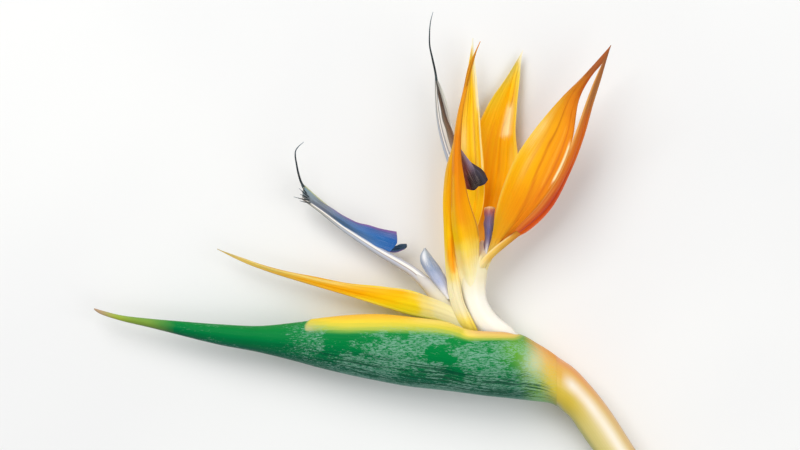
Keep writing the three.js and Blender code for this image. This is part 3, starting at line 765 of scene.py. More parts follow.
# %% Spathe finish
spathe_finish, shader, along, across = new_finish("waxy green spathe")
shape = vein_shape(along * 1.6, across, 64.0, 1.2)
cloud = clouds(0.012, 1.6)
where = node("ShaderNodeTexCoord", give="Object")
position = outputs_of(node("ShaderNodeSeparateXYZ", {0: where}, give=None))
ragged = shape["Fibre"] - 0.5
down = mark("down")
frayed_down = down + ragged * 0.2
# darker towards the keel: partly the spathe's own deeper teal, partly painted shade where the flank turns
# from the light
green = ramp(
    frayed_down,
    {0.0: "30963a", 0.2: "148a3c", 0.4: "00803c", 0.65: "00703e", 0.82: "045c46", 1.0: "0c504a"},
)
green = mix(cloud * 0.3, green, paint("006e38"))
tip_line = position["X"] + cloud * 0.012
beak = node("ShaderNodeMapRange", {"Value": tip_line, "From Min": -0.078, "From Max": -0.104})
green = mix(beak, green, ramp(down, {0.0: "9db356", 0.6: "a6b53f", 1.0: "a9ae52"}))
dry = smooth_step(position["X"], -0.108, -0.1165)
green = mix(dry, green, paint("b89a7a"))
foot_line = position["X"] + position["Y"] * 0.3
foot_line = foot_line + ragged * 0.003
foot = smooth_step(foot_line, 0.0455, 0.0535)
gold = ramp(
    down,
    {
        0.0: "ec9438", 0.1: "eea244", 0.24: "ecb04e", 0.42: "e2ba48", 0.6: "d8c03e", 0.82: "a9a248",
        1.0: "6e7a5c",
    },
)
leafy = soft_spot(position["X"], position["Y"], 0.0515, -0.0275, 0.006, 0.0065)
yellow_green = mix(smooth_step(foot_line, 0.038, 0.047), green, paint("7aaa4c"))
yellow_green = mix(leafy, yellow_green, paint("5fa52e"))
flank = mix(foot, yellow_green, gold)
haze = soft_spot(position["X"], position["Y"], 0.0585, -0.0335, 0.004, 0.006)
flank = mix(haze * 0.6, flank, paint("dcd9ae"))
band = mark("band") + ragged * 0.16
yellow = ramp(
    band,
    {0.04: "2f8f3c", 0.18: "5fa044", 0.38: "b0c04c", 0.55: "dccf46", 0.72: "f6d842", 1.0: "fac944"},
)
foot_band = ramp(band, {0.05: "5fa24f", 0.3: "9db94e", 0.55: "dcc860", 0.75: "efcf70", 1.0: "f0c078"})
butter = smooth_step(position["X"], 0.004, 0.018) * smooth_step(band, 0.5, 0.8)
yellow = mix(butter * 0.6, yellow, paint("f8e684"))
yellow = mix(smooth_step(position["X"], 0.028, 0.04), yellow, foot_band)
pale_end = soft_spot(position["X"], position["Y"], -0.0325, -0.0212, 0.004, 0.003)
yellow = mix(pale_end * 0.55, yellow, paint("dcc49a"))
tone = mix(smooth_step(band, 0.03, 0.22), flank, yellow)
streak = node(
    "ShaderNodeMapping",
    {"Vector": where, "Scale": (520.0, 2100.0, 2100.0), "Rotation": (0.0, 0.0, 0.13)},
)
dust = node("ShaderNodeTexNoise", {"Vector": streak, "Scale": 1.0, "Detail": 6.0, "Roughness": 0.8})
drawn = node(
    "ShaderNodeMapping", {"Vector": where, "Scale": (45.0, 95.0, 95.0), "Rotation": (0.0, 0.0, 0.13)},
)
patch = node("ShaderNodeTexNoise", {"Vector": drawn, "Scale": 1.0, "Detail": 6.0, "Roughness": 0.7})
cover = smooth_step(patch, 0.37, 0.52) * smooth_step(position["X"], -0.06, -0.02)
cover = cover * calc("ADD", smooth_step(down, 0.1, 0.26), 0.25, clamp=True)
scuff = smooth_step(patch, 0.5, 0.6) * smooth_step(position["X"], -0.095, -0.07)
cover = calc("MAXIMUM", cover, scuff * 0.65)
keel_bloom = smooth_step(down, 0.84, 0.97) * smooth_step(position["X"], -0.05, 0.01)
flank_bloom = smooth_step(down, 0.45, 0.7) * smooth_step(position["X"], -0.07, -0.03)
cover = calc("MAXIMUM", cover, calc("MAXIMUM", keel_bloom, flank_bloom * 0.6))
needed = 0.63 - cover * 0.2
wax = smooth_step(dust - needed, 0.0, 0.13)
wax = calc("ADD", wax, keel_bloom * 0.35, clamp=True)
wax = wax * calc("SUBTRACT", 1.0, band * 1.7, clamp=True)
wax = wax * (1.0 - foot * 0.75)
tone = mix(wax * 0.5, tone, paint("a0cabc"))
crack_zone = smooth_step(down, 0.5, 0.6) * smooth_step(down, 0.92, 0.82)
crack = smooth_step(shape["Fibre"], 0.54, 0.4) * crack_zone
crack = crack * smooth_step(position["X"], -0.07, -0.02)
crack = crack * (1.0 - foot)
tone = mix(crack * 0.85, tone, paint("03452f"))
tone = mix(mark("inner"), tone, paint("cfd78a"))
link(tone, shader.inputs["Base Color"])
height = shape["Height"] + wax * 0.4
roughen(shader, height, 0.3, 0.0003, 0.34, 0.7, wax)
soften(shader, 0.0, shine=0.04)
add_piece("spathe_sheet", [spathe_sheet], [spathe_finish], "spathe_green", "spathe")

# %% [markdown]
# ## The stalk
# The stalk, or scape, is round and smooth like a candle. It comes out of the wrapped base of the
# spathe, bends, and ends in a clean knife cut. The cut face of a monocot shows no ring of wood:
# its strands of vessels are dots, spread all over the pith.

# %% Stalk skin and cut
SCAPE_START = 16.6


def scape_skin(rows=220, around=96):
    """The body from inside the spathe to the cut, a little thinner where the spathe wraps it."""
    station = np.linspace(SCAPE_START, LAST_STATION, rows)
    station = np.concatenate([station, [LAST_STATION] * 12])
    inward = np.concatenate([np.zeros(rows), np.linspace(0.15, 1, 12) ** 0.8])
    angle = np.linspace(0, 2 * np.pi, around, endpoint=False)[None, :]
    wrapped = -0.6 * (1 - ease(SPATHE_END - 0.3, SPATHE_END + 0.05, station)) - 0.05
    angle = angle + 0 * station[:, None]
    ridge = np.abs(angle - np.pi) / np.pi
    rings = body(station, angle, wrapped[:, None] + shoulder(body(station, angle)[..., 0], ridge))
    centre = rings.mean(1, keepdims=True)
    rings = rings + (centre - rings) * inward[:, None, None] * 0.98
    cut = (inward > 0).astype(float)[:, None]
    along = (station - SCAPE_START) / (LAST_STATION - SCAPE_START)
    return skin(rings, along, np.linspace(0, 1, around + 1), cut=cut)


scape_finish, shader, along, across = new_finish("golden stalk")
shape = vein_shape(along, across, 44.0, 0.8)
cloud = clouds(0.009, 1.4)
stops = {
    0.0: "ea8a38", 0.07: "ea9a48", 0.15: "e6b254", 0.3: "dcc03c", 0.4: "c6b338", 0.5: "7c8a50",
    0.62: "b9b258", 0.82: "e0b45c", 1.0: "ea8a38",
}
tone = ramp(across, stops)
paler = ramp(
    across,
    {
        0.0: "d09a58", 0.08: "dfba78", 0.2: "ead9a0", 0.36: "dccf84", 0.45: "a3a75d", 0.52: "7c8f48",
        0.7: "d9cf92", 1.0: "cf9f68",
    },
)
tone = mix(smooth_step(along, 0.35, 0.7), tone, paler)
tone = mix(cloud * 0.2, tone, paint("d9b45c"))
tone = mix(shape["Vein"] * 0.1, tone, paint("a99a4c"))
underside = smooth_step(across, 0.37, 0.46) * smooth_step(across, 0.68, 0.56)
underside = underside * smooth_step(along, 0.42, 0.22)
tone = mix(underside * 0.7, tone, paint("8c9a7c"))
# painted highlight: a pale glossy band along the upper flank of the stalk
painted_highlight_line = soft_line(along, across, (0.235, 0.2), (1.1, 0.2), 0.05)
painted_highlight_line = painted_highlight_line * (cloud * 0.3 + 0.62)
tone = mix(painted_highlight_line, tone, paint("f8efe2"))
cut = mark("cut")
where = node("ShaderNodeTexCoord", give="Object")
vessels = node("ShaderNodeTexVoronoi", {"Vector": where, "Scale": 900.0})
pith = mix(smooth_step(vessels, 0.32, 0.2), paint("ece6bf"), paint("a8a76a"))
tone = mix(cut, tone, pith)
link(tone, shader.inputs["Base Color"])
roughen(shader, shape["Height"], 0.12, 0.0002, 0.3, 0.42, cloud)
soften(shader, 0.1, shine=0.25)
shader.inputs["Coat Weight"].default_value = 0.25
shader.inputs["Coat Roughness"].default_value = 0.2
add_piece("scape_stalk", [scape_skin()], [scape_finish], "scape_gold", "scape")

# %% [markdown]
# ## The necks of the flowers
# Each flower stands on a thick fleshy neck, its ovary, which comes out of the slit. It is smooth,
# almost white, and a little translucent, with a breath of yellow at its foot. It is a loft like the
# stalk, and faint lengthwise flutes keep it from looking turned on a lathe.

# %% Neck skins
# Stations of the upper flower's neck: left point, right point, half thickness, height.
NECK_2 = numbers("""
    37.4 15  38.2 15  0.3 12.2
    35.4 12.8  39.8 13  1.5 12.8
    32.4 10.6  41.4 10.8  3.2 13.4
    29.4 7  41.2 8.4  5.2 14.6
    28.5 3  40.3 4.4  5.5 15
    28.8 -0.8  39.4 -0.8  5.3 15
    30 -8.8  39.6 -8.4  5 15
    32.6 -16  43.2 -14.4  4.9 15
    37.4 -23  50 -20.2  4.5 15
    45.6 -31.5  55.2 -26.2  4 15
    56 -37.5  60.5 -30  3.6 15
    62.4 -40.5  65.5 -33  3.6 15
""", 6)
# The lower flower's neck and the cup on top of it: x, y, z, radius.
CUP_1 = [
    [11.6, 1.2, 12, 1.9], [17, -3.8, 12.3, 2.9], [21, -8, 12.4, 4.0], [25, -11.6, 12.2, 4.4],
    [28.6, -15.8, 12, 4.3], [32, -21, 12.4, 3.8], [36.4, -28, 13, 3.2],
]
NECK_1 = [
    [22.6, -8.2, 12.9, 4.2], [24.8, -11.4, 12.9, 4.2], [27.6, -15.2, 13.2, 3.8], [31, -21.6, 13.8, 3.4],
    [38.4, -31.4, 14, 3], [49, -38.8, 14, 2.8], [60, -43.8, 14, 2.8], [65.6, -46, 14, 2.8],
]


def neck_skin(stations, flutes=0.02, rows=120, around=64):
    "Rings from two opposite points: middle + half·cos(a)·axis + thickness·sin(a) upwards, with flutes."
    u = np.linspace(0, 1, rows)
    left, right, size = body_lines(stations, u)
    angle = np.linspace(0, 2 * np.pi, around, endpoint=False)
    flute = 1 + flutes * np.cos(7 * angle + 0.6)
    swing = (np.cos(angle) * flute)[None, :, None]
    rings = (left + right)[:, None] / 2 + swing * (left - right)[:, None] / 2
    rings[..., 2] = size[:, 1:2] + size[:, :1] * np.sin(angle) * flute
    return skin(rings, u, np.linspace(0, 1, around + 1))


def neck_finish(name, foot, head, upper="ecdda2", middle="f0e5be", lower="fbf8ee"):
    """Cream flesh with soft fibres, from the head's tint to the foot's."""
    material, shader, along, across = new_finish(name)
    shape = vein_shape(along, across, 30.0, 1.0)
    cloud = clouds(0.006, 1.5)
    tone = ramp(
        along,
        {0.0: head, 0.12: head, 0.28: upper, 0.42: middle, 0.56: lower, 0.78: "fcfaf2", 1.0: foot},
    )
    tone = mix(cloud * 0.16, tone, paint("f8f0d4"))
    tone = mix(shape["Fibre"] * 0.12, tone, paint("efe4c0"))
    link(tone, shader.inputs["Base Color"])
    roughen(shader, shape["Height"], 0.12, 0.0002, 0.38, 0.5, shape["Fibre"])
    soften(shader, 0.15, (1.0, 0.8, 0.5), 0.002)
    return material


upper_neck_finish = neck_finish("cream neck", "f2dcc6", "f6dccb")
lower_neck_finish = neck_finish("cream neck of the lower flower", "f3dc62", "f6eed0")
cup_finish = neck_finish(
    "cream cup of the lower flower", "f4d94e", "cfcac8", "d8d0bc", "e4dabc", "f0e8cc",
)
add_piece("upper_neck", [neck_skin(NECK_2)], [upper_neck_finish], "neck_cream", "flower_2_neck")
lower_skins = [tube(NECK_1, flat=0.8, around=48), tube(CUP_1, around=64)]
add_piece("lower_neck", lower_skins, [lower_neck_finish, cup_finish], "neck_cream", "flower_1_neck")

# %% [markdown]
# ## The sepals
# The flames of the flower are its sepals, stiff blades folded like a keeled boat. The three of the
# lower flower are yellow, and the upper flower's are deeper orange. Each one is drawn by its two
# margins and its keel. Its colour runs along it, cream at the foot and pale or brown at the dry tip,
# and differs between the two halves, so each sepal has three ramps, one for each lane.

# %% Rails of the lower flower's sepals
SEPAL_1_NEAR = rails("""
    30.6 -22.6 15.4  33.6 -23.4 16.4  37 -23.2 16.6
    27.4 -16 18  30.6 -16.6 19.2  33.8 -16.6 18.8
    24.4 -8 18.4  27.6 -8.8 19.7  30.4 -9.2 19
    23.4 -0.8 16.9  25.9 -0.8 18.2  28.7 -0.8 17.2
    22.8 9.2 15.8  24.7 8.8 17.5  27 8.4 16.3
    22.2 21.2 15.6  24.2 20.8 17.5  27.2 20.4 16.3
    22 32.4 16  24.4 32.4 18.3  27.6 32.4 17.2
    23.2 43.2 17  25 43.2 19  27.6 43.2 18
    25.6 52 18.5  26.6 52 20  28 52 19.2
    28.2 63.2 21  28.6 63.2 21.5  29.2 63.2 21.3
    30.4 73.2 22.5  30.4 73.2 22.5  30.4 73.2 22.5
""")
SEPAL_1_FAR = rails("""
    25.6 -11.2 7.8  27.2 -12 7.4  29.2 -11.2 7.8
    24.4 -1.2 8.6  26.2 -1.6 7.6  28 -1.2 8.4
    25.2 15.2 10  30 15.2 7.4  34.4 16 9.3
    27.2 29.2 10.5  33.2 29.2 7  38.4 30 9.5
    28 45.2 10.5  33.6 44.8 7  38.2 45.2 9.5
    28.4 59.2 10.5  33.2 59.2 7.5  37.2 60 9.5
    30.4 73.2 10.5  33.2 73.2 8  36 73.2 9.5
    32 84 10  33.4 84 8.6  35 84 9.4
    34 96 9  34 96 9  34 96 9
""")
SEPAL_1_LOWER = rails("""
    31.6 -17 17.2  36 -24.4 16  31 -17 11.6
    26.4 -12 18  30.2 -20.6 16.6  26.4 -12.4 8.6
    18.4 -8.2 17.9  21 -17 15.4  18.4 -8.2 8
    9 -5.3 16.6  9.8 -14.7 12.4  9 -5 7.2
    -1.2 -4 15  -2.4 -11 11.5  -1.2 -3.6 7.5
    -15.2 -2.4 14  -16.4 -6.6 11.3  -15.2 -2 8.2
    -31.2 0.4 12.8  -32 -2 11  -31.2 0.8 8.8
    -47.2 4.2 11.8  -48 3 10.8  -47.2 4.4 9.5
    -59.2 8.2 11.2  -59.6 7.4 10.6  -59.2 8.4 10
    -68.4 11.6 10.5  -68.4 11.6 10.5  -68.4 11.6 10.5
""")

# %% Rails of the upper flower's sepals
SEPAL_2_NEAR = rails("""
    29.4 -6.4 15.8  34 -8 18.6  38 -6.8 17
    27.6 4.4 16.6  31.8 3.4 21.2  36.6 4.4 19.6
    26.4 12.4 17.5  30.4 12 22.4  36.6 13 19.6
    25.6 20.8 19  28.8 20.8 24  36 20 19.8
    25.4 31.2 20.5  27.6 31.2 25  32.4 31.2 22
    25.6 42.4 21.5  27.2 42.4 25.5  30.2 42.4 23
    26 52 22.5  27.4 52.8 25.5  29 53.2 23.8
    27.9 65.2 24.5  28.8 65.2 26  29.8 66.4 25
    30.4 76.8 26  31.1 76.8 26.8  31.8 76.8 26.2
    32.2 84.8 27  33 84.8 27.4  33.8 84.8 27
    34.7 90 27.5  34.9 90 27.7  35.2 90 27.5
    36.8 94.4 28  36.8 94.4 28  36.8 94.4 28
""")
SEPAL_2_FAR = rails("""
    33.5 4 9  36.5 2.6 8.3  39.6 5 9.2
    34 20 5  39.2 18.4 3  44 19.2 6
    32.8 31.2 4.5  41.2 31.2 1  49.6 31.2 7
    32.8 45.2 4.5  43.2 44 0.5  51.6 45.2 7.5
    34.4 57.2 4.5  44.8 56.4 0.4  51.4 57.2 7
    38.8 67.2 4.5  47.2 68 0.6  51.6 68.4 6
    45.2 76.8 4  49.6 77.6 1.2  52.4 77.6 5
    50.4 85.2 3.5  52 85.6 2.2  53.2 85.6 4
    54 91.2 3  54 91.2 3  54 91.2 3
""")
SEPAL_2_RIGHT_BROAD = rails("""
    36.4 -1.2 15.6  36.8 -1.6 15.4  35.8 -2 15
    38.4 6.2 18.4  39.8 5.6 18.2  39.8 6.6 16.8
    41.4 16 16.8  43.8 15 19.4  45.8 14.8 18
    43 26.4 15.5  48.8 23.2 22.5  52.4 21 22
    45.8 36.4 16  54 32.4 25  60.8 29.6 25.5
    50.8 48 17  60.4 45.2 26  69.2 42.4 27
    59 60 19  67.4 57.6 26  73.6 55.2 27
    69.2 72 22.5  73 71.6 26  76.3 71.2 27
    77 79.6 26  79.2 80 28  81.2 80.8 28.5
    83.8 87.2 29.2  85.2 87.2 29.8  86.4 87 30
    88.8 92.8 31  88.8 92.8 31  88.8 92.8 31
""")
SEPAL_2_RIGHT_STRIP = rails("""
    35.8 -1.8 15  35.8 -2 14.6  35.8 -1.6 13.8
    39.6 6.2 17.2  39.8 7 15  39.8 7.8 12.8
    44.8 14.6 18.3  46.3 14.6 15.5  47 14.4 12.5
    51 20.8 22  54.2 19.8 17  56.2 19 12
    59.2 29.4 25.4  63.6 28.8 19  65.6 28.4 13.5
    68 41.6 26.8  71.6 42.8 22  72.8 43.2 16.5
    73.6 54.8 27  76.4 55.6 24  78 56 20
    79.2 70.8 28  80.8 70.6 26.5  82 70.4 24
    82.6 79.6 29  83.9 79.6 28.5  84.8 79.6 27
    88.8 92.8 31  88.8 92.8 31  88.8 92.8 31
""")
COLLAR = rails("""
    34.2 2.4 17.6  34.8 1.4 17.6  35.6 0.6 17
    36.2 5.8 19.2  37.2 4.8 19.6  38.4 3.8 18.2
    38.6 8.8 19.9  39.6 7.8 20.2  40.6 6.6 19
    42 12 20  43 11 20.2  43.8 9.8 19.2
    46.8 15.8 19.2  47.8 14.8 19.4  48.6 13.8 18.4
    51.2 19 19.6  52.2 18.2 19.4  53.2 17.4 18.6
""")

# %% A finish for every sepal
CREAM = "fbf5da"
BUTTER = "f8e89c"
YELLOW = "fbc60a"
MARIGOLD = "f7ae04"
ORANGE = "f09a08"
BROWN = "9a5e38"
STRAW = "d3b358"
PAINTED_HIGHLIGHT = "fde08a"
STREAK = 0.05
FAINT_PAINTED_GLOW = {0.0: "1c1c1c", 1.0: "1c1c1c"}


def sepal_finish(name, left, middle, right, places=(0.0, 0.5, 1.0), painted_highlights=(), strokes=(),
                 veining=0.3, painted_glow=FAINT_PAINTED_GLOW):
    """Three colour ramps along the sepal, side by side, with veins, fibres, painted highlights and strokes.

    A painted highlight is (along, across, length, width, strength), a pale spot of painted light. A stroke
    is (from along, from across, to along, to across, width, output, paint, strength), and its output is Line
    or Beyond.
    The painted glow is a ramp of greys: emission in the sepal's own colour, painted light that lifts the
    parts lying in shade.
    """
    material, shader, along, across = new_finish(name)
    shape = vein_shape(along, across, 17.0, 1.0)
    cloud = clouds(0.007, 1.5)
    ragged = shape["Fibre"] - 0.5
    drift = ragged * (1.3 * STREAK) + (cloud - 0.5) * STREAK
    moved = along + drift
    swayed = across + ragged * 0.02
    tone = three_lanes(moved, across, left, middle, right, places)
    for from_along, from_across, to_along, to_across, width, output, code, strength in strokes:
        share = soft_line(moved, swayed, (from_along, from_across), (to_along, to_across), width, output)
        tone = mix(share * strength, tone, paint(code))
    bright = smooth_step(shape["Fibre"], 0.3, 0.75)
    # painted highlights: pale spots of painted light, streaked by the fibres
    for at_along, at_across, length, width, strength in painted_highlights:
        soft = soft_spot(moved, swayed, at_along, at_across, length, width)
        streaked = bright * 0.6 + 0.45
        tone = mix(soft * streaked * strength, tone, paint(PAINTED_HIGHLIGHT))
    grown = smooth_step(along, 0.06, 0.3) * veining
    tone = mix(shape["Vein"] * grown * 0.45, tone, paint("cf8a18"), "MULTIPLY")
    dim = smooth_step(shape["Fibre"], 0.55, 0.15)
    tone = mix(dim * grown, tone, paint("f6c878"), "MULTIPLY")
    rim = smooth_step(abs(across - 0.5), 0.47, 0.495)
    rim = rim * smooth_step(along, 0.1, 0.3)
    tone = mix(rim * 0.35, tone, paint("f6d98c"))
    link(tone, shader.inputs["Base Color"])
    # painted light: emission in the sepal's own colour brightens the parts that lie in shade
    link(mix(1.0, tone, ramp(along, painted_glow), "MULTIPLY"), shader.inputs["Emission Color"])
    shader.inputs["Emission Strength"].default_value = 1.0
    roughen(shader, shape["Height"], 0.25, 0.00022, 0.34, 0.5, shape["Fibre"])
    soften(shader, 0.1, (1.0, 0.45, 0.1), 0.001, shine=0.08)
    return material


print("sepal paints:", [CREAM, BUTTER, YELLOW, MARIGOLD, ORANGE, BROWN])

# %% The lower flower's sepals
lower_finish = sepal_finish(
    "sepal along the spathe",
    {
        0.0: "eae0b6", 0.12: "e0d49c", 0.19: "e2cc70", 0.24: "eec63c", 0.31: "eeb212", 0.42: "f0ba28",
        0.52: "ecc044", 0.68: "d4b44c", 0.85: "ccb75a", 1.0: "979d85",
    },
    {
        0.0: "eae0b8", 0.15: "eadfa6", 0.2: "f4e080", 0.25: "f8da1c", 0.36: YELLOW, 0.48: "fbb404",
        0.64: "f4b220", 0.8: "dcb858",
    },
    {
        0.0: "eae0b6", 0.15: "ebe2a2", 0.2: "f4e47c", 0.28: "f8e41c", 0.38: "f8d81a", 0.56: "eab024",
        0.7: "dca836", 1.0: "dcc068",
    },
    places=(0.0, 0.22, 0.48),
    strokes=[
        (0.5, 0.05, 0.95, 0.05, 0.05, "Line", "f3dc8a", 0.5),
        (0.42, 0.26, 0.8, 0.26, 0.07, "Line", "f8a606", 0.5),
        (0.1, 0.46, 0.5, 0.46, 0.03, "Line", "f8ea5a", 0.7),
    ],
    veining=0.12, painted_glow={0.0: "5c5c5c", 0.3: "545454", 0.6: "3c3c3c", 1.0: "2c2c2c"},
)
near_finish = sepal_finish(
    "near sepal of the lower flower",
    {
        0.0: "f2d038", 0.07: "f6e27c", 0.13: "ebe1b6", 0.22: "ebe1b6", 0.32: "f6e27a", 0.42: "f6cc2c",
        0.55: YELLOW, 0.72: "e0b650",
    },
    {
        0.0: "f0cc30", 0.06: "f6de64", 0.12: "ebe1b6", 0.2: "ebe1b6", 0.29: "ebd060", 0.34: MARIGOLD,
        0.41: YELLOW, 0.6: MARIGOLD,
    },
    {
        0.0: "e6c030", 0.06: "eed250", 0.12: "ebe1b6", 0.2: "ebe1b6", 0.28: BUTTER, 0.34: "ecb838",
        0.42: MARIGOLD, 0.75: STRAW,
    },
    strokes=[
        (0.02, 0.8, 0.3, 0.93, 0.05, "Line", "c9a44a", 0.4),
        (0.27, 0.62, 0.44, 0.66, 0.16, "Line", "f49a06", 0.8),
    ],
    painted_glow={0.0: "5c5c5c", 0.15: "3c3c3c", 0.3: "1c1c1c", 1.0: "1c1c1c"},
)
far_finish = sepal_finish(
    "far sepal of the lower flower",
    {
        0.0: CREAM, 0.12: BUTTER, 0.25: "ffd81c", 0.5: "ffd420", 0.68: "fcc014", 0.82: "e0a030",
        0.93: "ecc038", 1.0: CREAM,
    },
    {
        0.0: CREAM, 0.12: BUTTER, 0.25: "ffd420", 0.45: "ffcc14", 0.64: "ffd21e", 0.8: "fcce10",
        0.92: "ecc848", 1.0: "eceede",
    },
    {
        0.0: CREAM, 0.12: BUTTER, 0.25: "fcc41c", 0.45: "fcc418", 0.66: "fccc28", 0.8: "f4d250",
        0.92: "f2e6a8", 1.0: "e8ecd8",
    },
    painted_highlights=[(0.62, 0.17, 0.075, 0.12, 1.0), (0.66, 0.66, 0.1, 0.08, 0.8), (0.5, 0.75, 0.06, 0.05, 0.5)],
    strokes=[
        (0.74, 0.97, 0.5, 0.94, 0.025, "Line", "fff0b4", 0.9),
        (0.8, 0.42, 0.42, 0.45, 0.05, "Line", "f4b40c", 0.6),
        (0.72, 0.86, 0.42, 0.84, 0.04, "Line", "f4b00e", 0.6),
        (0.97, 0.9, 0.72, 0.97, 0.09, "Line", "fbf3cf", 0.8),
    ],
    painted_glow={0.0: "9a9a9a", 0.45: "9a9a9a", 0.56: "757575", 0.68: "1c1c1c", 1.0: "1c1c1c"},
)
lower_blade = blade(
    SEPAL_1_LOWER, fold=1.4, creases=[(-0.35, 0.25, 0.35)], veins=9, wave=0.25, base_thin=0.7,
)
near_blade = blade(SEPAL_1_NEAR, creases=[(0.15, 0.2, 0.3)], veins=7, wave=0.1, base_thin=0.7)
far_blade = blade(
    SEPAL_1_FAR, creases=[(0.3, 0.12, -0.5), (0.55, 0.1, 0.35), (-0.55, 0.08, 0.3)], veins=11,
    wave=0.15,
)
add_piece("sepal_along_spathe", [lower_blade], [lower_finish], "sepal_yellow", "flower_1_sepal_lower")
add_piece("sepal_lower_near", [near_blade], [near_finish], "sepal_yellow", "flower_1_sepal_near")
add_piece("sepal_lower_far", [far_blade], [far_finish], "sepal_yellow", "flower_1_sepal_far")

# %% The upper flower's sepals
front_finish = sepal_finish(
    "near sepal of the upper flower",
    {
        0.0: "f8f0d0", 0.08: "f6eabc", 0.15: "f0da84", 0.19: "f0cc48", 0.24: "f6cc08", 0.34: "fbbc04",
        0.42: MARIGOLD, 0.52: ORANGE, 1.0: "d6902c",
    },
    {
        0.0: "f8f0d0", 0.07: "f6eabc", 0.11: "f4e4a4", 0.15: "f2d67c", 0.19: "f5d248", 0.235: "f7ba0a",
        0.31: "ef9808", 0.42: "ea8c0a", 0.55: "e8880c", 0.72: "e28018",
    },
    {
        0.0: "f8f0d0", 0.08: "f6eac0", 0.14: "f0dea0", 0.2: "eac858", 0.26: "ecb420", 0.36: MARIGOLD,
        0.45: ORANGE, 0.58: "ea8a18", 0.8: "e09a20",
    },
    strokes=[
        (0.62, 0.5, 1.02, 0.5, 0.9, "Line", "ecae20", 0.45),
        (0.5, 0.95, 0.97, 0.93, 0.06, "Line", "a8641e", 0.75),
        (0.24, 0.97, 0.46, 0.97, 0.03, "Line", "9a6430", 0.6),
        (0.52, 0.1, 0.97, 0.12, 0.1, "Line", "f4b84c", 0.5),
        (0.33, 0.12, 0.6, 0.05, 0.06, "Line", "b8681a", 0.45),
        (0.2, 0.3, 0.5, 0.34, 0.12, "Line", "fdd012", 0.5),
    ],
    veining=0.22, painted_glow={0.0: "4c4c4c", 0.15: "2c2c2c", 0.3: "1c1c1c", 1.0: "1c1c1c"},
)
back_finish = sepal_finish(
    "far sepal of the upper flower",
    {
        0.0: CREAM, 0.12: "f6c850", 0.3: "f6b60e", 0.5: "fac20c", 0.68: "ffc00c", 0.8: "ecc628",
        0.93: "dccc60", 1.0: "eae8cc",
    },
    {
        0.0: CREAM, 0.12: "f4b848", 0.3: "f2ac0c", 0.5: "f4b20a", 0.73: "f8b80a", 0.84: YELLOW,
        0.93: "e8cc50", 1.0: CREAM,
    },
    {
        0.0: CREAM, 0.12: "f4b848", 0.3: "f0b014", 0.48: "f0bc0c", 0.6: "fdc010", 0.75: "f8ca24",
        0.88: "f2da5a", 1.0: CREAM,
    },
    painted_highlights=[(0.74, 0.78, 0.07, 0.1, 0.75), (0.5, 0.86, 0.06, 0.06, 0.35)],
    strokes=[
        (0.92, 0.8, 0.62, 0.56, 0.025, "Line", "c8860c", 0.7),
        (0.66, 0.56, 0.4, 0.6, 0.03, "Line", "e0900c", 0.6),
        # a painted highlight on the lit right half
        (0.6, 0.7, 0.76, 0.72, 0.13, "Line", "fdebb0", 1.0),
        (0.95, 0.95, 0.4, 0.96, 0.035, "Line", "f8da4e", 0.7),
        (0.3, 0.28, 0.7, 0.3, 0.05, "Line", "f09a0c", 0.5),
        (0.25, 0.42, 0.75, 0.44, 0.04, "Line", "ef960c", 0.4),
    ],
    veining=0.2, painted_glow={0.0: "6c6c6c", 0.42: "606060", 0.62: "343434", 0.75: "1c1c1c", 1.0: "3c3c3c"},
)
broad_finish = sepal_finish(
    "broad half of the right sepal",
    {
        0.0: "f4e8c0", 0.07: "ecd898", 0.13: "dcb850", 0.2: "e6b01c", 0.36: "f8b00c", 0.52: "f8c018",
        0.7: "eaae1e", 0.82: "cc8424", 0.95: "a8623a",
    },
    {
        0.0: "f4e8c0", 0.07: "ead494", 0.12: "d2ae4c", 0.19: "e29e1c", 0.32: "ee980c", 0.47: "f8b008",
        0.64: "f2a60a", 0.77: "d68014", 0.9: "a65a2c",
    },
    {
        0.0: "f4e8c0", 0.07: "e8cc84", 0.14: "d67618", 0.3: "d4720c", 0.43: "e4820e", 0.59: "e88e0c",
        0.72: "be6c1a", 0.83: "b8561c", 0.95: BROWN,
    },
    painted_highlights=[(0.62, 0.13, 0.07, 0.1, 0.85), (0.5, 0.3, 0.08, 0.06, 0.35)],
    strokes=[
        (0.84, 0.5, 0.56, 0.47, 0.03, "Line", "c0680f", 0.7),
        (0.62, 0.45, 0.24, 0.68, 0.035, "Line", "d47210", 0.7),
        (0.8, 0.5, 0.2, 0.68, 0.12, "Beyond", "ea8614", 0.5),
        (0.74, 0.28, 0.42, 0.34, 0.03, "Line", "e6950a", 0.6),
        (0.7, 0.78, 0.34, 0.84, 0.03, "Line", "cf6a18", 0.6),
        (0.66, 0.66, 0.4, 0.76, 0.03, "Line", "f8b03a", 0.5),
        # a painted highlight along the crease next to the narrow half
        (0.62, 0.94, 0.43, 0.93, 0.022, "Line", "fdeeb8", 0.95),
        (0.72, 0.03, 0.2, 0.04, 0.03, "Line", "fbd44c", 0.8),
    ],
    veining=0.28,
)
strip_finish = sepal_finish(
    "narrow half of the right sepal",
    {
        0.0: "f4e8c0", 0.08: "e4c478", 0.15: "d8903c", 0.24: "ee7c14", 0.4: "f0801c", 0.58: "e8841c",
        0.8: "ae743a", 0.95: BROWN,
    },
    {
        0.0: "f4e8c0", 0.08: "e4c478", 0.13: "d8903c", 0.2: "e46a14", 0.28: "e4540a", 0.4: "d0400a",
        0.52: "da5c0c", 0.68: "d86a16", 0.82: "a86c3c", 1.0: BROWN,
    },
    {
        0.0: "f4e8c0", 0.08: "e0bc70", 0.15: "cc8440", 0.22: "f0680c", 0.33: "f46c14", 0.48: "dc5414",
        0.6: "de6a18", 0.8: "cc8838", 0.95: BROWN,
    },
    strokes=[
        (0.56, 0.6, 0.2, 0.42, 0.07, "Line", "b83008", 0.8),
        (0.5, 0.2, 0.22, 0.18, 0.05, "Line", "f8943c", 0.6),
        (0.18, 0.8, 0.5, 0.86, 0.06, "Line", "fc8834", 0.7),
        (0.58, 0.06, 0.95, 0.06, 0.07, "Line", "eeb060", 0.7),
    ],
    veining=0.25,
)
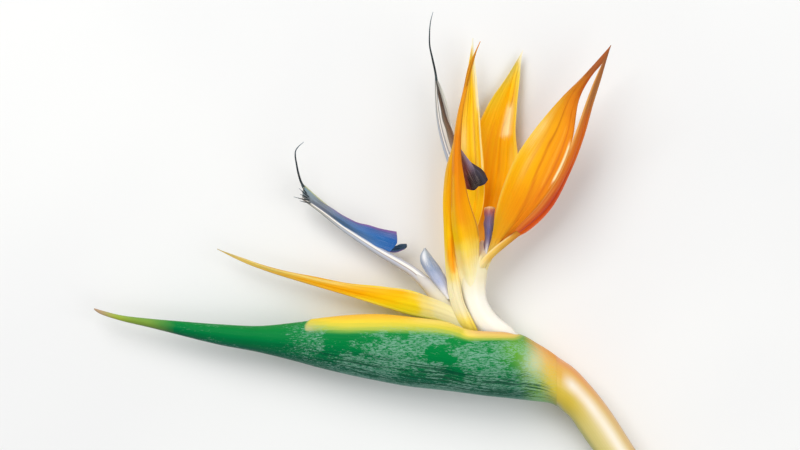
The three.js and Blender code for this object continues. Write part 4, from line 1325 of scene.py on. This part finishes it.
collar_finish = sepal_finish(
    "golden foot of the right sepal",
    {0.0: "f6ecc8", 0.2: "f2dea4", 0.4: "eccb72", 0.7: "dcb04a", 1.0: "cf9a34"},
    {0.0: "f6ecc8", 0.2: "f0d896", 0.4: "e8bf5c", 0.7: "d9a640", 1.0: "d08a2c"},
    {0.0: "f4e8c0", 0.2: "eccf88", 0.4: "dfb254", 0.7: "cf9a3a", 1.0: "cf7a24"},
    strokes=[(0.05, 0.12, 0.95, 0.12, 0.1, "Line", "fbe7a8", 0.7)],
)
front_blade = blade(
    SEPAL_2_NEAR, creases=[(0.1, 0.3, 0.3), (-0.5, 0.2, -0.25)], veins=11, wave=0.15, base_thin=0.7,
)
back_blade = blade(
    SEPAL_2_FAR, creases=[(0.2, 0.1, 0.6), (0.42, 0.12, -0.7), (-0.4, 0.25, 0.4)], veins=11, wave=0.25,
)
broad_blade = blade(
    SEPAL_2_RIGHT_BROAD,
    creases=[(0.15, 0.1, 0.5), (0.5, 0.12, -0.45), (0.86, 0.06, 0.3), (-0.4, 0.3, 0.3)], veins=9,
)
strip_blade = blade(
    SEPAL_2_RIGHT_STRIP, creases=[(0.1, 0.12, -0.45), (0.5, 0.2, 0.3)], veins=7, rows=150, columns=33,
)
collar = blade(COLLAR, veins=3, rows=60, columns=21, rib=1.0, tip_width=0.6)
add_piece("sepal_upper_near", [front_blade], [front_finish], "sepal_orange", "flower_2_sepal_near")
add_piece("sepal_upper_far", [back_blade], [back_finish], "sepal_yellow", "flower_2_sepal_far")
add_piece(
    "sepal_upper_right", [broad_blade, strip_blade, collar],
    [broad_finish, strip_finish, collar_finish], "sepal_orange", "flower_2_sepal_right",
)

# %% [markdown]
# ## The blue tongues
# Two petals of each flower are grown together into an arrow. Its shaft is white and has a groove
# that holds the style, its two wings stand up like the sides of a trough, and each ends in a barb
# where a bird would land. The lower tongue is still blue, the upper one has faded to mauve and its
# barbs have dried almost black.

# %% Rails of the tongues
SHAFT_1 = [
    [-34.4, 32, 13.2, 0.5], [-27.2, 27, 13, 0.8], [-19.2, 20.9, 12.6, 1.1], [-11.2, 15.5, 12.2, 1.4],
    [-3.2, 10.4, 12, 1.7], [4.8, 5.8, 12, 1.95], [9.6, 2.8, 12, 2.1], [13.6, -0.6, 12, 2.4],
    [17.6, -4.4, 12.2, 2.9], [22.4, -8.8, 12.6, 3.2],
]
SHAFT_2 = [
    [19.2, 80.8, 16.6, 0.45], [19.4, 71.6, 15.4, 0.55], [20.4, 62.4, 14.4, 0.8], [22.6, 53.2, 13.6, 1],
    [25.4, 44.8, 13.2, 1.2], [28, 35.2, 13, 1.4], [29.6, 25.2, 13, 1.7], [31.2, 15.2, 13.4, 2],
    [33.2, 5.6, 13.8, 2.4],
]
NEAR_WING_1 = rails("""
    3.4 18.6 16.6  3.6 14 15.4  0.6 10.4 13
    0 19.2 16.8  -1.2 15.4 15.2  -3.2 12.2 13
    -4.8 20.4 16.6  -6.6 17.2 15  -8 14.8 13
    -11.2 22 16.2  -13 20 14.8  -14.4 18.8 13
    -19.2 25.8 15.6  -20.6 24.6 14.4  -21.6 23.6 13
    -27.2 31.2 14.8  -28.2 30 14  -28.8 28.6 13
    -33.2 36.4 14.2  -34 34.4 13.8  -34.4 32.2 13.2
""")
FAR_WING_1 = rails("""
    6.2 11.3 10.5  7.6 12.6 9.8  7.4 13.7 9.4
    3.2 10.2 10.8  4.4 11.8 9.9  5.2 13.6 9.4
    0 10.6 11.2  1 11.8 10  2.6 13 9.2
    -6 14.6 11.6  -5.2 16.4 9.8  -1.6 18.6 8.8
    -15.2 20.2 12  -13.8 21 10.2  -11.6 22 9.2
    -22.4 25 12.2  -21.2 25.6 10.8  -19.6 25.8 10.2
    -29.6 30 12.6  -28.6 30.8 11.6  -27.2 31.7 11.4
    -34.4 34 13  -34 35.4 12.8  -33.4 37.2 13
""")
NEAR_WING_2 = rails("""
    31.2 35.8 15.2  34.6 35.1 16.4  37.6 38.4 16.8
    29.4 40 15.2  32 41.6 16.4  34 44.8 17.2
    27.2 45.2 14.6  29.2 48 16  30.4 50 17.2
    25 52 14.2  26.2 54.4 16  27 54.8 17.2
    23.2 59.2 14.4  23.6 61.6 16  23.8 63.6 17
    21.2 67.2 14.8  21.5 68.8 16.2  21.8 70.4 16.8
    19.8 74.4 15.6  20 75.2 16.6  20.3 76 16.8
    19 79.6 16.6  19.2 79.6 17  19.4 79.6 17
""")
FAR_WING_2 = rails("""
    36.4 36.6 14.4  38.8 37.6 14  40 39.4 13.4
    31.6 40.8 14  35.8 42.2 13.6  37.8 43.4 13
    28 47.2 13.4  30.4 47.2 12.8  32.4 47 12.4
    25.8 52.8 13.2  26.8 54 12.4  28.2 53.2 12
    23.6 60 13.4  24.6 62.4 12.6  25.2 63.2 12.2
    21.5 68 13.8  22.4 70.2 13.2  23.1 71.6 13
    20 74.8 14.8  20.5 76 14.4  21 77 14.4
    19.1 79.6 16.2  19.4 79.6 16.2  19.6 79.6 16.4
""")

# %% Finishes of the tongues
shaft_finish, shader, along, across = new_finish("white shaft")
shape = vein_shape(along, across, 18.0, 0.6)
pale = ramp(
    along,
    {
        0.0: "8f8a86", 0.1: "a8a8a4", 0.4: "b4bccb", 0.62: "b6bac8", 0.78: "c6c4c8", 0.9: "d6ccb8",
        1.0: "ded2b4",
    },
)
upper_side = smooth_step(abs(across - 0.3), 0.07, 0.02)
pale = mix(upper_side * 0.9, pale, paint("fbf8f2"))
groove_line = smooth_step(abs(across - 0.24), 0.022, 0.004)
pale = mix(groove_line * 0.75, pale, paint("9c7a52"))
link(pale, shader.inputs["Base Color"])
roughen(shader, shape["Height"], 0.15, 0.0002, 0.35, 0.5, shape["Fibre"])
soften(shader, 0.1, (1.0, 0.9, 0.7), 0.001)


def wing_finish(name, left, middle, right, count, dark="3a3f78", light="a9bfe6", edge="8a5a9a"):
    "Three colour ramps along the wing, side by side, with dark veins, light fibres and a tinted edge."
    material, shader, along, across = new_finish(name)
    shape = vein_shape(along, across, count, 1.5)
    moved = along + (shape["Fibre"] - 0.5) * 0.1
    tone = three_lanes(moved, across, left, middle, right)
    tone = mix(shape["Vein"] * 0.4, tone, paint(dark), "MULTIPLY")
    tone = mix(smooth_step(shape["Fibre"], 0.45, 0.8) * 0.38, tone, paint(light))
    border = smooth_step(across, 0.14, 0.03) * smooth_step(along, 0.95, 0.4)
    tone = mix(border * 0.75, tone, paint(edge))
    link(tone, shader.inputs["Base Color"])
    roughen(shader, shape["Height"], 0.3, 0.0002, 0.4, 0.55, shape["Fibre"])
    soften(shader, 0.05, (0.5, 0.6, 1.0), 0.0006, shine=0.15)
    return material


blue_finish = wing_finish(
    "blue wing",
    {
        0.0: "66609a", 0.12: "5a64a0", 0.3: "4a66a6", 0.45: "6072a8", 0.6: "7c86a6", 0.8: "8c9698",
        1.0: "809aa0",
    },
    {0.0: "0a60b4", 0.15: "2470be", 0.35: "4c7ebe", 0.55: "5678a2", 0.75: "82899a", 1.0: "8b999b"},
    {0.0: "3074c6", 0.3: "5684be", 0.55: "4e76a2", 0.8: "7a8098", 1.0: "989890"}, 26.0,
)
lobe_finish = wing_finish(
    "dark barb", {0.0: "27465c", 0.1: "35608e", 0.2: "5a8ac8", 0.6: "9fb4cc", 1.0: "a8a89a"},
    {0.0: "1d3648", 0.09: "22405a", 0.2: "4a7cba", 0.6: "6684a6", 1.0: "a8a89a"},
    {0.0: "223d50", 0.09: "2a4c62", 0.16: "3f68a0", 0.5: "8a93a0", 0.75: "c3c79c", 1.0: "c9cf98"}, 14.0,
)
mauve_finish = wing_finish(
    "faded wing",
    {
        0.0: "7c2826", 0.1: "a43e36", 0.24: "b4604e", 0.38: "b09a8c", 0.6: "948e7e", 0.85: "6a7874",
        1.0: "4d6a73",
    },
    {
        0.0: "120d0f", 0.1: "2c1416", 0.2: "7a3a34", 0.34: "9c7664", 0.55: "8c6c50", 0.8: "664c3a",
        1.0: "4a5254",
    },
    # the mauve band of this lane near the barb is a painted highlight
    {
        0.0: "15161a", 0.08: "3a3440", 0.2: "9a88a2", 0.34: "b098a0", 0.5: "7a5c48", 0.7: "402e26",
        1.0: "3a3836",
    },
    22.0, dark="5a4a58", light="c8b8ae", edge="8c6a5c",
)
dark_lobe_finish = wing_finish(
    "dried barb", {0.0: "2a2a34", 0.2: "3f3a48", 0.4: "b9a59a", 1.0: "e6e6dc"},
    {0.0: "33323e", 0.2: "4c4654", 0.4: "c9bcb0", 0.6: "f2f2ea", 1.0: "dfe2da"},
    {0.0: "2c2622", 0.2: "5c4640", 0.36: "a08a80", 0.5: "f6f6ee", 0.85: "eef2ea", 1.0: "a8aca4"}, 14.0,
    dark="5a4a58", light="8a8090", edge="5c4640",
)
thread_finish, shader, along, across = new_finish("dark thread")
shape = vein_shape(along, across, 6.0, 2.0)
tone = ramp(along, {0.0: "3a4648", 0.2: "10161c", 0.6: "15222c", 0.85: "3c4f5c", 1.0: "8b9aa6"})
tone = mix(shape["Fibre"] * 0.2, tone, paint("4d5a60"))
link(tone, shader.inputs["Base Color"])
roughen(shader, shape["Height"], 0.3, 0.0001, 0.4, 0.6, shape["Fibre"])
soften(shader, 0.0, shine=0.2)
print("tongue finishes ready")


# %% Tongues
def thread(line, thick, thin, rows=90):
    """A tube whose radius falls from thick to thin along the line."""
    radius = np.linspace(thick, thin, len(line))
    return tube([[*p, r] for p, r in zip(line, radius)], rows=rows, around=12)


# Frayed hairs at the tip of the older tongue.
HAIRS = [
    [[-31.6, 32.4, 14.8], [-33.6, 34, 14.8], [-35.6, 35.9, 14.8]],
    [[-31.4, 31.2, 14.6], [-34.4, 31.6, 14.4], [-37.7, 32.5, 14]],
    [[-31, 30, 14.2], [-33.4, 30.4, 14], [-35.4, 30.9, 13.4]],
    [[-32.2, 32, 14.8], [-34, 33, 14.8], [-35.2, 33.5, 14.8]],
    [[-32.6, 33.8, 14.6], [-33.8, 35.6, 14.8], [-34.8, 37.2, 14.8]],
]
wing = {"fold": 1.3, "rib": 0.7, "edge": 0.3, "veins": 11, "vein_height": 0.05, "wave": 0.3}
blue_skins = [
    tube(SHAFT_1, groove=0.22, around=40), blade(NEAR_WING_1, **wing), blade(FAR_WING_1, **wing),
]
blue_skins += [thread(hair, 0.26, 0.08, rows=24) for hair in HAIRS]
blue_finishes = [shaft_finish, blue_finish, lobe_finish] + [thread_finish] * len(HAIRS)
add_piece("tongue_blue", blue_skins, blue_finishes, "tongue_blue", "flower_1_tongue")
faded_skins = [
    tube(SHAFT_2, groove=0.22, around=40), blade(NEAR_WING_2, **wing), blade(FAR_WING_2, **wing),
]
add_piece(
    "tongue_faded", faded_skins, [shaft_finish, mauve_finish, dark_lobe_finish], "tongue_mauve",
    "flower_2_tongue",
)

# %% [markdown]
# ## Small petals and styles
# The third petal of each flower is a small lavender hood over the nectar, thin enough to gleam like
# wet paper. The style is a stiff dark thread. The CAD keeps it thick enough to be a solid, and here
# it tapers to a hair.

# %% Rails of the small petals and styles
PETAL_1 = rails("""
    23.4 -8 15.6  24.6 -8.4 17.4  25.2 -7 15.4
    17.6 -0.8 14.2  20.2 -1.6 16.4  23.6 -0.6 14.2
    13.6 4.8 13.4  16.8 4 15.8  20.6 4.6 13.4
    12.8 8.4 13.2  14.9 8.4 15.4  17.2 9.2 13.2
    14.4 11.8 13.4  14.8 12 14  15.2 11.8 13.4
""")
PETAL_2 = rails("""
    38 6.4 15.4  39.2 6 17  40.4 7.2 15
    38.6 16 14  40.2 16 16.4  41.6 16 14
    38.4 22.4 14  40.6 22.4 16.2  42.3 22.4 13.6
    38.4 28 14.6  40.8 28.6 16  42.9 28 14
""")
STYLE_1 = [
    [-33.6, 36.4, 14], [-34.7, 38.2, 14.3], [-35.8, 41.6, 14.4], [-36.6, 45.6, 14.4], [-37.1, 49, 14.4],
    [-36.9, 51, 14.4], [-35.6, 52.8, 14.4], [-33.7, 54.4, 14.4],
]
STYLE_2 = [
    [19.4, 79, 17], [18.9, 82.4, 17.4], [17.7, 88, 17.6], [16.7, 92.8, 17.8], [16.6, 97.6, 18],
    [17, 102.4, 18], [18, 106.4, 18],
]

# %% Small petals
def hood_finish(name, stops, tip, clear=0.65):
    """Thin lavender tissue with a glossy coat, fine veins, clear fibres and a painted highlight."""
    material, shader, along, across = new_finish(name)
    shape = vein_shape(along, across, 12.0, 1.0)
    moved = along + (shape["Fibre"] - 0.5) * 0.25
    tone = ramp(moved, stops)
    tone = mix(shape["Vein"] * 0.12, tone, paint("6f6a96"), "MULTIPLY")
    clear_fibres = smooth_step(shape["Fibre"], 0.45, 0.75) * clear
    tone = mix(clear_fibres, tone, paint("e4e4ee"))
    # painted highlight: a pale glossy spot
    tone = mix(soft_spot(moved, across, *tip, 0.13, 0.16), tone, paint("f4f4f6"))
    link(tone, shader.inputs["Base Color"])
    roughen(shader, shape["Height"], 0.35, 0.0002, 0.25, 0.4, shape["Fibre"])
    soften(shader, 0.15, (0.8, 0.8, 1.0), 0.001)
    shader.inputs["Coat Weight"].default_value = 0.3
    shader.inputs["Coat Roughness"].default_value = 0.15
    return material


hood_1_finish = hood_finish(
    "lavender hood",
    {0.0: "fbf8f2", 0.12: "e6e4ea", 0.35: "aab4d4", 0.7: "8498b8", 0.92: "a4b4c4", 1.0: "6c7c88"},
    (0.84, 0.4),
)
hood_2_finish = hood_finish(
    "mauve hood",
    {
        0.0: "a98880", 0.2: "8a6f8a", 0.55: "5f5c90", 0.8: "745a7e", 0.92: "a4504e", 0.97: "c87a50",
        1.0: "f0cf86",
    },
    (0.2, 0.4), 0.2,
)
hood_1 = blade(PETAL_1, fold=2, rib=0.8, edge=0.4, veins=5, wave=0.06, rows=110, columns=37)
hood_2 = blade(PETAL_2, fold=2, rib=0.8, edge=0.4, veins=5, wave=0.2, rows=110, columns=37)
add_piece("hood_lower", [hood_1], [hood_1_finish], "petal_lavender", "flower_1_small_petal")
add_piece("hood_upper", [hood_2], [hood_2_finish], "petal_lavender", "flower_2_small_petal")

# %% Styles
add_piece("style_lower", [thread(STYLE_1, 0.5, 0.12)], [thread_finish], "style_dark", "flower_1_style")
add_piece("style_upper", [thread(STYLE_2, 0.5, 0.12)], [thread_finish], "style_dark", "flower_2_style")
